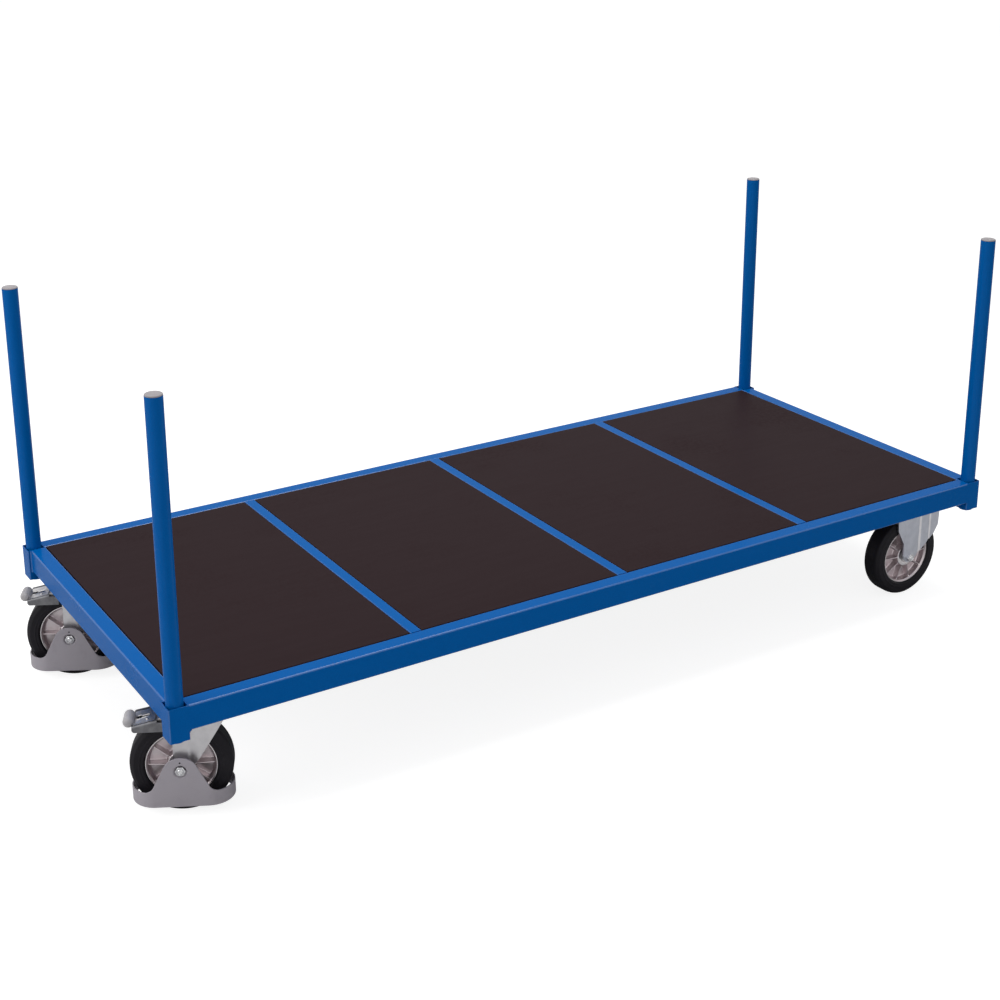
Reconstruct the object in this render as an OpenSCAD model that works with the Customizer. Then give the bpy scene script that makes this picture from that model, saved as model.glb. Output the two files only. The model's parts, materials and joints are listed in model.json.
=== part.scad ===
// Stake cart: a welded steel platform with four flush boards, four lift-out
// corner stakes, two braked swivel castors with foot guards and two fixed castors.
// Origin on the floor below the middle of the cart's whole length and width.
// +X runs from the swivel castors to the fixed ones, -Y is the front long side.

/* [Platform] */
// Length of the platform over its rails
frame_len = 2070; // [1600:10:2500]
// Width of the platform over its rails
frame_w = 870; // [700:10:1100]
// Width of a rail, seen from above
rail_w = 35; // [25:1:37]
// Height of a rail
rail_h = 52; // [50:1:60]
// Wall of a rail
rail_wall = 3; // [2:0.5:4]
// Radius of a rail's long edges
rail_edge_r = 4; // [3:0.5:6]
// Width of a cross bar
bar_w = 25; // [20:1:40]
// Height of a cross bar
bar_h = 40; // [30:1:44]
// Wall of a cross bar
bar_wall = 2; // [1.5:0.5:3]
// Number of cross bars between the boards
bar_count = 3; // [3:1:3]
// Thickness of a board
board_t = 12; // [9:1:15]
// Joint left round each board
board_gap = 1; // [0.5:0.5:3]
// Width of the flats that the boards lie on
ledge_w = 20; // [12:1:30]
// Thickness of the flats that the boards lie on
ledge_t = 4; // [3:0.5:6]

/* [Stakes] */
// Outer diameter of a stake
stake_d = 33.7; // [30:0.1:35.5]
// Wall of a stake
stake_wall = 2.6; // [2:0.1:4]
// Height of a stake above the load surface, with its cap
stake_rise = 600; // [400:10:1000]
// Thickness of the cap's head
cap_t = 4; // [2:0.5:8]
// Depth of the cap's plug in the stake
cap_plug = 15; // [8:1:30]
// Room between a stake and its socket, on each side
stake_room = 1.15; // [0.3:0.05:2]
// Wall of the socket tube
socket_wall = 2; // [1.5:0.25:2.5]
// Depth of the socket tube below the load surface
socket_drop = 70; // [60:1:72]
// How far a socket stands out past the end rail
socket_proud = 7.5; // [5:0.5:12]
// Thickness of the socket's base
base_t = 4; // [3:0.5:4.5]

/* [Wheels] */
// Outer diameter of a tyre
wheel_d = 200; // [196:1:202]
// Width of a tyre
tyre_w = 50; // [40:1:51]
// Radius of the tyre's shoulders
shoulder_r = 9; // [4:0.5:14]
// Thickness of the tyre's rubber
tyre_t = 30.5; // [25:0.5:36]
// Thickness of the rim's outer ring
rim_ring_t = 5; // [3:0.5:8]
// Width of the rim and its hub
rim_w = 42; // [38:1:44]
// Diameter of the hub
hub_d = 54; // [46:1:60]
// Thickness of the web between hub and ring
web_t = 6; // [4:0.5:10]
// Number of ribs on each face of the rim
rib_count = 10; // [6:1:14]
// Thickness of a rib
rib_t = 3.5; // [2:0.5:5]
// Outer diameter of a ball bearing
bearing_d = 32; // [28:1:36]
// Width of a ball bearing
bearing_w = 10; // [8:1:12]
// Diameter of the axle bolt
axle_d = 12; // [10:0.5:13]

/* [Castor plates] */
// Drop of the castors' top plates below the load surface
plate_drop = 44; // [36:1:50]
// Thickness of a castor's top plate
plate_t = 6; // [5:0.5:8]
// Hole spacing along a top plate
hole_dx = 105; // [96:1:120]
// Distance of the holes from the plate's short edges
hole_edge_x = 17.5; // [12:0.5:24]
// Distance of the holes from the plate's long edges
hole_edge_y = 13; // [12:0.5:20]
// Distance of the holes from the fixed fork's legs
hole_room = 10; // [10:0.5:14]
// Diameter of the mounting bolts
bolt_d = 10; // [8:0.5:10.5]
// Thickness of the seat plates in the frame's corners
seat_t = 6; // [4:0.5:8]
// How far the seat plates run past the castors' plates
seat_past = 6; // [2:1:30]

/* [Swivel castors] */
// Gap between a swivel castor's plate and the end rail
swivel_gap_x = 3; // [1:0.5:10]
// Gap between a swivel castor's plate and the side rail
swivel_gap_y = 24; // [20:1:40]
// Trail of the wheel behind the swivel axis
trail = 49.5; // [46:0.5:52]
// Turn of the front swivel castor at rest, in degrees
swivel_angle_front = -27.5; // [-40:0.5:0]
// Turn of the back swivel castor at rest, in degrees
swivel_angle_back = -28.5; // [-40:0.5:0]
// Room beside the tyre in the swivel fork
fork_room = 5; // [4:0.5:8]
// Room between the tyre and the fork's crown
fork_clear = 18; // [17:0.5:24]
// Thickness of the fork's steel
fork_t = 4; // [3:0.5:5]
// Thickness of the fork's crown
crown_t = 6; // [5:0.5:6.5]
// Diameter of the fork's crown
crown_d = 92; // [88:1:96]
// Diameter of the kingpin
kingpin_d = 12; // [10:0.5:14]
// Diameter of the balls in the swivel race
ball_d = 8; // [7:0.5:8]
// Number of balls in the swivel race
ball_count = 20; // [12:1:22]
// Height of the race ring under the top plate
race_h = 7.8; // [6:0.2:12]

/* [Foot guards] */
// Room between the tyre and the ends of a foot guard
guard_room = 7.2; // [5:0.2:12]
// Height of the guard's bosses beside the fork
boss_h = 14; // [12:0.5:20]
// Wall of a foot guard
guard_t = 3; // [2.5:0.5:4]
// Height of the guard's lower edge above the floor
guard_low = 24; // [18:1:30]
// Height of the band that runs round the wheel
band_h = 30; // [24:1:36]
// Radius of the arch above the axle
arch_r = 29; // [26:1:32]
// Radius where the arch's flanks run into the band
flank_r = 28; // [20:1:34]

/* [Brakes] */
// Width of the brake lever's tread
tread_w = 70; // [62:1:76]
// Room between the lever's arms and the fork
lever_room = 2; // [1:0.25:3]
// Thickness of the brake lever's steel
lever_t = 2; // [1.5:0.25:2.5]
// Diameter of the lever's pivot studs
pivot_d = 8; // [6:0.5:9]
// Drop of the lever's pivot below the fork's crown
pivot_drop = 10.5; // [9:0.5:12]
// Diameter of the tread knob
knob_d = 22; // [20:1:26]
// Length of the tread knob
knob_len = 42; // [30:1:56]
// Radius of the knob's ends
knob_end_r = 8; // [4:0.5:9]
// Gap between the brake shoe and the tyre at rest
shoe_gap = 5; // [5:0.25:6]

/* [Fixed castors] */
// Gap between a fixed castor's plate and the end rail
fixed_gap_x = 14; // [4:1:30]
// Gap between a fixed castor's plate and the side rail
fixed_gap_y = 8; // [2:1:20]
// Offset of the wheel from the middle of its top plate
fixed_offset = 25; // [22:1:28]
// Room beside the tyre in the fixed fork
fixed_room = 3; // [2:0.5:6]

/* [Hidden] */
$fn = 64;

// Which side and which end a piece belongs to
front = -1;
back = 1;
left = -1;
right = 1;

// Colours as painted or plated
paint = [0.0, 0.31, 0.60];
board_brown = [0.20, 0.16, 0.17];
zinc = [0.66, 0.67, 0.70];
bright_steel = [0.78, 0.78, 0.80];
cast_alu = [0.62, 0.58, 0.60];
rubber = [0.12, 0.12, 0.13];
guard_grey = [0.53, 0.52, 0.54];
cap_grey = [0.58, 0.57, 0.58];

// One overrun for every cut, and the clearances between pieces
over = 1;
run_fit = 0.06;
slip = 0.1;
face_gap = 0.2;
race_gap = 0.1;
// Steps along a drawn arc
arc_steps = 8;

// Widths of the forks, and heights from the tyre up to the load surface
wheel_r = wheel_d / 2;
rim_d = wheel_d - 2 * tyre_t;
fork_gap = tyre_w + 2 * fork_room;
fork_w = fork_gap + 2 * fork_t;
fixed_gap = tyre_w + 2 * fixed_room;
fixed_w = fixed_gap + 2 * fork_t;
crown_low = wheel_d + fork_clear;
crown_top = crown_low + crown_t;
race_low = crown_top + ball_d + 2 * race_gap;
plate_low = race_low + race_h;
plate_top = plate_low + plate_t;
deck_h = plate_top + plate_drop;

// The castors' top plates, the seats above them, and the castors' places
hole_dy = fixed_w + 2 * hole_room;
plate_len = hole_dx + 2 * hole_edge_x;
plate_w = hole_dy + 2 * hole_edge_y;
seat_len = plate_len + max(swivel_gap_x, fixed_gap_x) + seat_past;
seat_w = plate_w + max(swivel_gap_y, fixed_gap_y) + seat_past;
swivel_in_x = rail_w + swivel_gap_x + plate_len / 2;
swivel_in_y = rail_w + swivel_gap_y + plate_w / 2;
fixed_in_x = rail_w + fixed_gap_x + plate_len / 2 + fixed_offset;
fixed_in_y = rail_w + fixed_gap_y + plate_w / 2;

// The square sockets and their round bases
base_step = 2;
socket_w = stake_d + 2 * stake_room + 2 * socket_wall;
base_d = socket_w - 2 * base_step;

// Heights of the platform's pieces
rail_low = deck_h - rail_h;
bar_low = deck_h - bar_h;
board_low = deck_h - board_t;
ledge_low = board_low - ledge_t;
bar_edge_r = rail_edge_r / 2;

// The brake lever, from its pivot: the tread with its walls, the arms and the head
tread_tip = -88;
tread_end = -33;
tread_tip_top = -15.3;
tread_low = -27.7;
tread_corner_r = 6;
arm_tail = -52;
arm_tail_low = -17;
head_x = 8;
head_top = 5.5;
head_low = -6.5;
// The keyhole in the tread
key_x = -76;
key_r = 7;
key_slot_end = -56;
key_slot_w = 7;
// The knob's middle, from the pivot, and the tongue that carries the knob
knob_x = -96;
knob_drop = 15.5;
tongue_w = 16;
tongue_end = -98;

// The cart's reach past the platform's left end, and the platform's middle
knob_reach = trail - knob_x + knob_d / 2 - knob_end_r;
left_reach = knob_reach * cos(swivel_angle_front) - (knob_len / 2 - knob_end_r) * sin(swivel_angle_front)
    + knob_end_r - swivel_in_x;
place_step = 0.1;
frame_x = round((left_reach - socket_proud) / 2 / place_step) * place_step;
deck_len = frame_len - 2 * rail_w;
deck_w = frame_w - 2 * rail_w;
field_len = (deck_len - bar_count * bar_w) / (bar_count + 1);

// Hub, spacer, nut and bolt sizes
bearing_in = rim_w / 2 - bearing_w;
hub_step = 3;
spacer_wall = 3;
nut_t = 8;
axle_af = 18;
bolt_af = 16;
bolt_head_t = 6.4;
bolt_nut_t = 8.4;
bolt_end = 3;
bolt_play = 1;

// The swivel head: race ring, skirt and kingpin
race_d = 90;
race_in_d = 50;
skirt_t = 3;
skirt_drop = 6;
ball_ring_d = 66;
pin_head_d = 22;
pin_head_t = 3.5;
pin_washer_d = 32;
pin_washer_t = 3;
pin_nut_t = 9;
pin_af = 19;
pin_end = 2;

// The swivel fork's leg, from the wheel axle
leg_back = 17;
leg_toe = 36;
leg_toe_rise = 18;
leg_knee = 56;
leg_knee_rise = 50;
leg_brow = 82;
leg_brow_rise = 93;
leg_front = 97;
leg_chin = 13;
leg_chin_drop = 11;
apron_low = 88;

// The foot guard: its size over all, its arch from the wheel axle, and its bosses
band_top = guard_low + band_h;
guard_w = fork_w + 2 * boss_h;
tyre_half_chord = sqrt(wheel_r * wheel_r - (wheel_r - band_top) * (wheel_r - band_top));
guard_len = 2 * (tyre_half_chord + guard_room + guard_t);
flank_foot = 59;
boss_r = 15;
nut_pocket_r = 12.5;

// The brake shoe and the web above it, in degrees behind the top of the wheel
shoe_start_angle = 9;
shoe_end_angle = 20;
web_start_angle = 4;
web_end_angle = 21;
shoe_t = 4;
shoe_w = 40;
shoe_low = wheel_r + shoe_gap;
shoe_top = shoe_low + shoe_t;
web_top = shoe_top + lever_t;
pivot_z = crown_low - pivot_drop;
arm_w = fork_gap - 2 * lever_room;

// The fixed fork's leg, from the wheel axle
fixed_knee = 41;
fixed_knee_rise = 76;
fixed_waist = 21;
fixed_waist_rise = 39;
fixed_ankle = 19;
fixed_toe_x = 26;
fixed_toe_rise = 2;
fixed_shin_x = 78;
fixed_shin_rise = 45;
fixed_brow_x = 91.5;
fixed_brow_rise = 66;
fixed_end_r = 13;

function end_face(end) = frame_x + end * frame_len / 2;
function side_face(side) = side * frame_w / 2;
function bar_x(i) = frame_x - deck_len / 2 + i * (field_len + bar_w) - bar_w / 2;
function field_x(i) = frame_x - deck_len / 2 + (i - 1) * (field_len + bar_w) + field_len / 2;
function socket_x(end) = end_face(end) + end * (socket_proud - socket_w / 2);
function socket_y(side) = side_face(side) - side * socket_w / 2;
function swivel_turn(side) = side == front ? swivel_angle_front : swivel_angle_back;
function swivel_x() = end_face(left) + swivel_in_x;
function swivel_y(side) = side_face(side) - side * swivel_in_y;
function fixed_x() = end_face(right) - fixed_in_x;
function fixed_y(side) = side_face(side) - side * fixed_in_y;
// A point at a radius, some degrees behind the top of the wheel
function behind(r, a) = [-r * sin(a), wheel_r + r * cos(a)];

// Points along an arc, from one angle to another
function arc(middle, r, from, to) = [for (i = [0 : arc_steps])
    let (a = from + (to - from) * i / arc_steps) middle + r * [cos(a), sin(a)]];

// A rectangle with round corners, from its lower left corner
module round_rect(w, h, r) {
    translate([r, 0]) square([w - 2 * r, h]);
    translate([0, r]) square([w, h - 2 * r]);
    for (x = [r, w - r], y = [r, h - r]) translate([x, y]) circle(r = r);
}

// A hollow section with round edges
module hollow_section(w, h, r, wall) {
    difference() {
        round_rect(w, h, r);
        translate([wall, wall]) square([w - 2 * wall, h - 2 * wall]);
    }
}

// A stretch along X, its section drawn in Y and Z
module along_x(length) {
    rotate([90, 0, 90]) linear_extrude(length) children();
}

// A plate from y_low, its outline drawn in X and Z
module upright(y_low, thickness) {
    translate([0, y_low + thickness, 0]) rotate([90, 0, 0]) linear_extrude(thickness) children();
}

// A round piece along Y, from y_low
module across(y_low, length, r) {
    translate([0, y_low, 0]) rotate([-90, 0, 0]) cylinder(h = length, r = r);
}

// A hexagon across its flats, along Z
module hexagon(af, length) {
    cylinder(h = length, d = af / cos(30), $fn = 6);
}

// Where a castor's own pieces go, with the wheel's foot at their origin
module at_swivel(side) {
    translate([swivel_x(), swivel_y(side), 0]) rotate([0, 0, swivel_turn(side)])
        translate([-trail, 0, 0]) children();
}

module at_fixed(side) {
    translate([fixed_x(), fixed_y(side), 0]) children();
}

module at_axle() {
    translate([0, 0, wheel_r]) children();
}

// The four bolt places of a castor's top plate
module plate_holes() {
    for (x = [-1, 1], y = [-1, 1]) translate([x * hole_dx / 2, y * hole_dy / 2, 0]) children();
}

// The outer block of each socket, which the pieces beside it are coped round
module socket_blocks(room) {
    block_w = socket_w + 2 * room;
    for (end = [left, right], side = [front, back])
        translate([socket_x(end) - block_w / 2, socket_y(side) - block_w / 2, deck_h - socket_drop])
            cube([block_w, block_w, socket_drop + over]);
}

// Platform

module side_rail(side) {
    y_low = side == front ? side_face(front) : side_face(back) - rail_w;
    color(paint) difference() {
        translate([end_face(left), y_low, rail_low])
            along_x(frame_len) hollow_section(rail_w, rail_h, rail_edge_r, rail_wall);
        socket_blocks(0);
    }
}

module end_rail(end) {
    x_low = end == left ? end_face(left) : end_face(right) - rail_w;
    color(paint) difference() {
        translate([x_low, 0, rail_low])
            upright(-deck_w / 2, deck_w) hollow_section(rail_w, rail_h, rail_edge_r, rail_wall);
        socket_blocks(0);
    }
}

module cross_bar(i) {
    color(paint) translate([bar_x(i) - bar_w / 2, 0, bar_low])
        upright(-deck_w / 2, deck_w) hollow_section(bar_w, bar_h, bar_edge_r, bar_wall);
}

module socket(side, end) {
    color(paint) translate([socket_x(end), socket_y(side), deck_h - socket_drop]) {
        linear_extrude(socket_drop) difference() {
            square(socket_w, center = true);
            square(socket_w - 2 * socket_wall, center = true);
        }
        translate([0, 0, -base_t]) cylinder(h = base_t, d = base_d);
        linear_extrude(socket_wall) square(socket_w, center = true);
    }
}

// Flats welded inside each field, for the board's edges to lie on
module board_ledges() {
    color(paint) difference() {
        for (i = [1 : bar_count + 1]) translate([field_x(i), 0, ledge_low]) {
            for (side = [front, back])
                translate([-field_len / 2, side == front ? -deck_w / 2 : deck_w / 2 - ledge_w, 0])
                    cube([field_len, ledge_w, ledge_t]);
            for (end = [left, right]) {
                x_low = end == left ? -field_len / 2 : field_len / 2 - ledge_w;
                translate([x_low, ledge_w - deck_w / 2, 0])
                    cube([ledge_w, deck_w - 2 * ledge_w, ledge_t]);
            }
        }
        socket_blocks(0);
    }
}

// Plates welded in the frame's inner corners, for the castors to be bolted to
module castor_seats() {
    color(paint) for (side = [front, back], end = [left, right]) {
        x_low = end == left ? end_face(left) + rail_w : end_face(right) - rail_w - seat_len;
        y_low = side == front ? -deck_w / 2 : deck_w / 2 - seat_w;
        plate_x = end == left ? swivel_x() : fixed_x() + fixed_offset;
        plate_y = end == left ? swivel_y(side) : fixed_y(side);
        difference() {
            translate([x_low, y_low, plate_top]) cube([seat_len, seat_w, seat_t]);
            translate([plate_x, plate_y, plate_top - over])
                plate_holes() cylinder(h = seat_t + 2 * over, d = bolt_d + bolt_play);
            socket_blocks(0);
        }
    }
}

module board(i) {
    color(board_brown) difference() {
        translate([field_x(i) - field_len / 2 + board_gap, board_gap - deck_w / 2, board_low])
            cube([field_len - 2 * board_gap, deck_w - 2 * board_gap, board_t]);
        socket_blocks(board_gap);
    }
}

// A bolt down through the seat and the castor's plate, with its nut below
module castor_bolt() {
    nut_low = plate_low - bolt_nut_t;
    translate([0, 0, plate_top + seat_t]) hexagon(bolt_af, bolt_head_t);
    translate([0, 0, nut_low - bolt_end])
        cylinder(h = plate_top + seat_t - nut_low + bolt_end, d = bolt_d);
    difference() {
        translate([0, 0, nut_low]) hexagon(bolt_af, bolt_nut_t);
        translate([0, 0, nut_low - over])
            cylinder(h = bolt_nut_t + 2 * over, d = bolt_d + 2 * run_fit);
    }
}

module castor_bolts() {
    color(zinc) for (side = [front, back]) {
        translate([swivel_x(), swivel_y(side), 0]) plate_holes() castor_bolt();
        translate([fixed_x() + fixed_offset, fixed_y(side), 0]) plate_holes() castor_bolt();
    }
}

// Stakes

module stake(side, end) {
    stake_low = deck_h - socket_drop + socket_wall;
    color(paint) translate([socket_x(end), socket_y(side), stake_low]) difference() {
        cylinder(h = deck_h + stake_rise - cap_t - stake_low, d = stake_d);
        translate([0, 0, -over])
            cylinder(h = deck_h + stake_rise, d = stake_d - 2 * stake_wall);
    }
}

module stake_cap(side, end) {
    color(cap_grey) translate([socket_x(end), socket_y(side), deck_h + stake_rise - cap_t]) {
        rotate_extrude() {
            intersection() {
                translate([stake_d / 2 - cap_t, 0]) circle(r = cap_t);
                square([stake_d / 2, cap_t]);
            }
            square([stake_d / 2 - cap_t, cap_t]);
        }
        translate([0, 0, -cap_plug])
            cylinder(h = cap_plug, d = stake_d - 2 * stake_wall - 2 * slip);
    }
}

// Wheels, in the castor's own frame

module rim() {
    ring_in = rim_d / 2 - rim_ring_t;
    color(cast_alu) at_axle() rotate([90, 0, 0]) difference() {
        union() {
            rotate_extrude() {
                translate([ring_in, -rim_w / 2]) square([rim_ring_t, rim_w]);
                translate([0, -rim_w / 2]) square([hub_d / 2, rim_w]);
                translate([0, -web_t / 2]) square([ring_in + over, web_t]);
            }
            for (i = [1 : rib_count]) rotate([0, 0, i * 360 / rib_count]) rib(ring_in);
        }
        cylinder(h = rim_w + 2 * over, d = bearing_d - 2 * hub_step, center = true);
        for (face = [-1, 1])
            translate([0, 0, face * (rim_w + over - bearing_w) / 2])
                cylinder(h = bearing_w + over, d = bearing_d + 2 * run_fit, center = true);
    }
}

// A rib through the web, lower at the ring than at the hub
module rib(ring_in) {
    ring_drop = web_t;
    translate([0, rib_t / 2, 0]) rotate([90, 0, 0]) linear_extrude(rib_t) polygon([
        [hub_d / 2 - over, -rim_w / 2 + over], [hub_d / 2 - over, rim_w / 2 - over],
        [ring_in + over, rim_w / 2 - ring_drop], [ring_in + over, -rim_w / 2 + ring_drop]]);
}

module tyre() {
    color(rubber) at_axle() rotate([90, 0, 0]) rotate_extrude() difference() {
        translate([0, -tyre_w / 2]) {
            square([wheel_r - shoulder_r, tyre_w]);
            translate([0, shoulder_r]) square([wheel_r, tyre_w - 2 * shoulder_r]);
            for (y = [shoulder_r, tyre_w - shoulder_r])
                translate([wheel_r - shoulder_r, y]) circle(r = shoulder_r);
        }
        translate([-over, -tyre_w / 2 - over]) square([rim_d / 2 + over, tyre_w + 2 * over]);
    }
}

module bearings() {
    seal_in = 1;
    seal_r = (bearing_d + axle_d) / 4;
    seal_w = (bearing_d - axle_d) / 4;
    color(bright_steel) at_axle() rotate([90, 0, 0]) for (face = [0, 1]) mirror([0, 0, face])
        translate([0, 0, bearing_in]) rotate_extrude() difference() {
            translate([axle_d / 2 + run_fit, 0])
                square([(bearing_d - axle_d) / 2 - run_fit, bearing_w]);
            translate([seal_r - seal_w / 2, bearing_w - seal_in]) square([seal_w, seal_in + over]);
        }
}

// Spacer tubes round the axle: between the bearings, and out to the fork
module spacers(gap) {
    module tube_between(from, to) {
        difference() {
            across(from, to - from, axle_d / 2 + spacer_wall);
            across(from - over, to - from + 2 * over, axle_d / 2 + run_fit);
        }
    }
    out = rim_w / 2 + face_gap;
    tube_between(face_gap - bearing_in, bearing_in - face_gap);
    tube_between(out, gap / 2);
    tube_between(-gap / 2, -out);
}

// Bolt with its head at +Y and its nut at -Y, outside seat_y
module axle_bolt(seat_y) {
    thread_end = 1.5;
    bolt_low = -seat_y - nut_t - thread_end;
    across(bolt_low, seat_y - bolt_low, axle_d / 2);
    translate([0, seat_y, 0]) rotate([-90, 0, 0]) hexagon(axle_af, nut_t);
    translate([0, -seat_y, 0]) difference() {
        rotate([90, 0, 0]) hexagon(axle_af, nut_t);
        across(-nut_t - over, nut_t + 2 * over, axle_d / 2 + run_fit);
    }
}

// Swivel castor

module head_plate(side) {
    color(zinc) translate([swivel_x(), swivel_y(side), 0]) difference() {
        union() {
            translate([-plate_len / 2, -plate_w / 2, plate_low]) cube([plate_len, plate_w, plate_t]);
            rotate_extrude() {
                translate([race_in_d / 2, race_low])
                    square([(race_d - race_in_d) / 2, plate_low - race_low]);
                translate([race_d / 2 - skirt_t, race_low - skirt_drop])
                    square([skirt_t, skirt_drop]);
            }
        }
        translate([0, 0, plate_low - over]) {
            cylinder(h = plate_t + 2 * over, d = kingpin_d + 2 * slip);
            plate_holes() cylinder(h = plate_t + 2 * over, d = bolt_d + bolt_play);
        }
        translate([0, 0, plate_top - pin_head_t])
            cylinder(h = pin_head_t + over, d = pin_head_d + 2 * slip);
    }
}

module kingpin(side) {
    washer_low = crown_low - face_gap - pin_washer_t;
    pin_low = washer_low - pin_nut_t - pin_end;
    color(bright_steel) translate([swivel_x(), swivel_y(side), 0]) {
        translate([0, 0, plate_top - pin_head_t]) cylinder(h = pin_head_t, d = pin_head_d);
        translate([0, 0, pin_low]) cylinder(h = plate_top - pin_head_t - pin_low, d = kingpin_d);
        translate([0, 0, washer_low]) cylinder(h = pin_washer_t, d = pin_washer_d);
        translate([0, 0, washer_low - pin_nut_t]) hexagon(pin_af, pin_nut_t);
    }
}

module swivel_balls(side) {
    color(bright_steel) translate([swivel_x(), swivel_y(side), crown_top + race_gap + ball_d / 2])
        for (i = [1 : ball_count]) rotate([0, 0, i * 360 / ball_count])
            translate([ball_ring_d / 2, 0, 0]) sphere(d = ball_d);
}

// The fork's leg, seen from the side
module leg_outline() {
    translate([0, wheel_r]) {
        circle(r = leg_back);
        polygon([
            [-leg_back, 0], [-leg_back, crown_low - wheel_r], [leg_front, crown_low - wheel_r],
            [leg_brow, leg_brow_rise], [leg_knee, leg_knee_rise], [leg_toe, leg_toe_rise],
            [leg_chin, -leg_chin_drop]]);
    }
}

module fork(side) {
    brow_slope = (leg_front - leg_brow) / (crown_low - wheel_r - leg_brow_rise);
    apron_x = leg_brow + (apron_low - leg_brow_rise) * brow_slope;
    color(zinc) at_swivel(side) difference() {
        union() {
            for (y = [-fork_w / 2, fork_gap / 2]) upright(y, fork_t) leg_outline();
            upright(-fork_gap / 2 - over, fork_gap + 2 * over) translate([0, wheel_r]) polygon([
                [apron_x - fork_t, apron_low], [apron_x, apron_low],
                [leg_front, crown_low - wheel_r], [leg_front - fork_t, crown_low - wheel_r]]);
            translate([0, 0, crown_low]) linear_extrude(crown_t) {
                translate([-leg_back, -fork_w / 2]) square([leg_front + leg_back, fork_w]);
                translate([trail, 0]) circle(d = crown_d);
            }
        }
        translate([trail, 0, crown_low - over])
            cylinder(h = crown_t + 2 * over, d = kingpin_d + 2 * run_fit);
        at_axle() across(-fork_w, 2 * fork_w, axle_d / 2 + run_fit);
        translate([0, 0, pivot_z]) across(-fork_w, 2 * fork_w, pivot_d / 2 + run_fit);
    }
}

module axle(side) {
    color(zinc) at_swivel(side) at_axle() {
        axle_bolt(guard_w / 2 - nut_t);
        spacers(fork_gap);
    }
}

// The guard seen from above: a ring with round ends
module guard_ring() {
    module stadium(length, width) {
        square([length - width, width], center = true);
        for (x = [-1, 1]) translate([x * (length - width) / 2, 0]) circle(d = width);
    }
    difference() {
        stadium(guard_len, guard_w);
        stadium(guard_len - 2 * guard_t, guard_w - 2 * guard_t);
    }
}

// The guard seen from the side: a band, and an arch over the axle with hollow flanks
module guard_outline() {
    foot_drop = band_top - wheel_r;
    tangent_a = acos(arch_r / norm([flank_foot, foot_drop])) + atan2(foot_drop, flank_foot);
    flank_a = 90 - tangent_a;
    fillet_x = flank_foot + flank_r * tan(flank_a / 2);
    half = concat(
        [[guard_len, guard_low], [guard_len, band_top]],
        arc([fillet_x, band_top + flank_r], flank_r, -90, -90 - flank_a),
        arc([0, wheel_r], arch_r, tangent_a, 90));
    polygon(concat(half, [for (i = [len(half) - 2 : -1 : 0]) [-half[i][0], half[i][1]]]));
}

module foot_guard(side) {
    pocket_y = guard_w / 2 - nut_t;
    color(guard_grey) at_swivel(side) difference() {
        union() {
            intersection() {
                linear_extrude(wheel_d) guard_ring();
                upright(-guard_w, 2 * guard_w) guard_outline();
            }
            at_axle() for (y = [-guard_w / 2, fork_w / 2]) across(y, boss_h, boss_r);
        }
        at_axle() {
            across(-guard_w, 2 * guard_w, axle_d / 2 + run_fit);
            across(pocket_y, guard_w, nut_pocket_r);
            across(-pocket_y - guard_w, guard_w, nut_pocket_r);
        }
    }
}

// A ring sector over the tyre, from one angle behind the wheel's top to another
module over_tyre(r_low, r_high, from, to, width) {
    upright(-width / 2, width) intersection() {
        translate([0, wheel_r]) difference() {
            circle(r = r_high);
            circle(r = r_low);
        }
        polygon([[0, wheel_r], behind(2 * r_high, from), behind(2 * r_high, to)]);
    }
}

// Sheet steel: a tread with turned-down sides, and two arms that swing between the fork's legs
module brake_lever(side) {
    tread_root = behind(web_top, web_end_angle);
    root_drop = tread_root[1] - pivot_z;
    tread_slope = (root_drop - tread_tip_top) / (tread_root[0] - tread_tip);
    tail_top = tread_tip_top + tread_slope * (arm_tail - tread_tip);
    end_top = tread_tip_top + tread_slope * (tread_end - tread_tip);
    color(bright_steel) at_swivel(side) {
        translate([0, 0, pivot_z]) {
            for (y = [-tread_w / 2, tread_w / 2 - lever_t]) upright(y, lever_t) polygon(concat(
                arc([tread_tip, tread_low] + tread_corner_r * [1, 1], tread_corner_r, 180, 270),
                [[tread_end, tread_low], [tread_end, end_top], [tread_tip, tread_tip_top]]));
            for (y = [-arm_w / 2, arm_w / 2 - lever_t]) upright(y, lever_t) polygon([
                [head_x, head_top], [head_x - 2 * pivot_d, head_top], [tread_root[0], root_drop],
                [arm_tail, tail_top], [arm_tail, arm_tail_low], [head_x, head_low]]);
            for (y = [-fork_w / 2, arm_w / 2 - lever_t])
                across(y, (fork_w - arm_w) / 2 + lever_t, pivot_d / 2);
            upright(-tongue_w / 2, tongue_w) translate([tongue_end, tread_tip_top - lever_t])
                square([tread_tip + over - tongue_end, lever_t]);
        }
        over_tyre(shoe_top, web_top, web_start_angle, web_end_angle, arm_w);
        difference() {
            upright(-tread_w / 2, tread_w) polygon([
                [tread_tip, pivot_z + tread_tip_top], tread_root, behind(shoe_top, web_end_angle),
                [tread_tip, pivot_z + tread_tip_top - lever_t]]);
            linear_extrude(crown_top) {
                translate([key_x, 0]) circle(r = key_r);
                translate([key_x, -key_slot_w / 2]) square([key_slot_end - key_x, key_slot_w]);
            }
        }
    }
}

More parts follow.
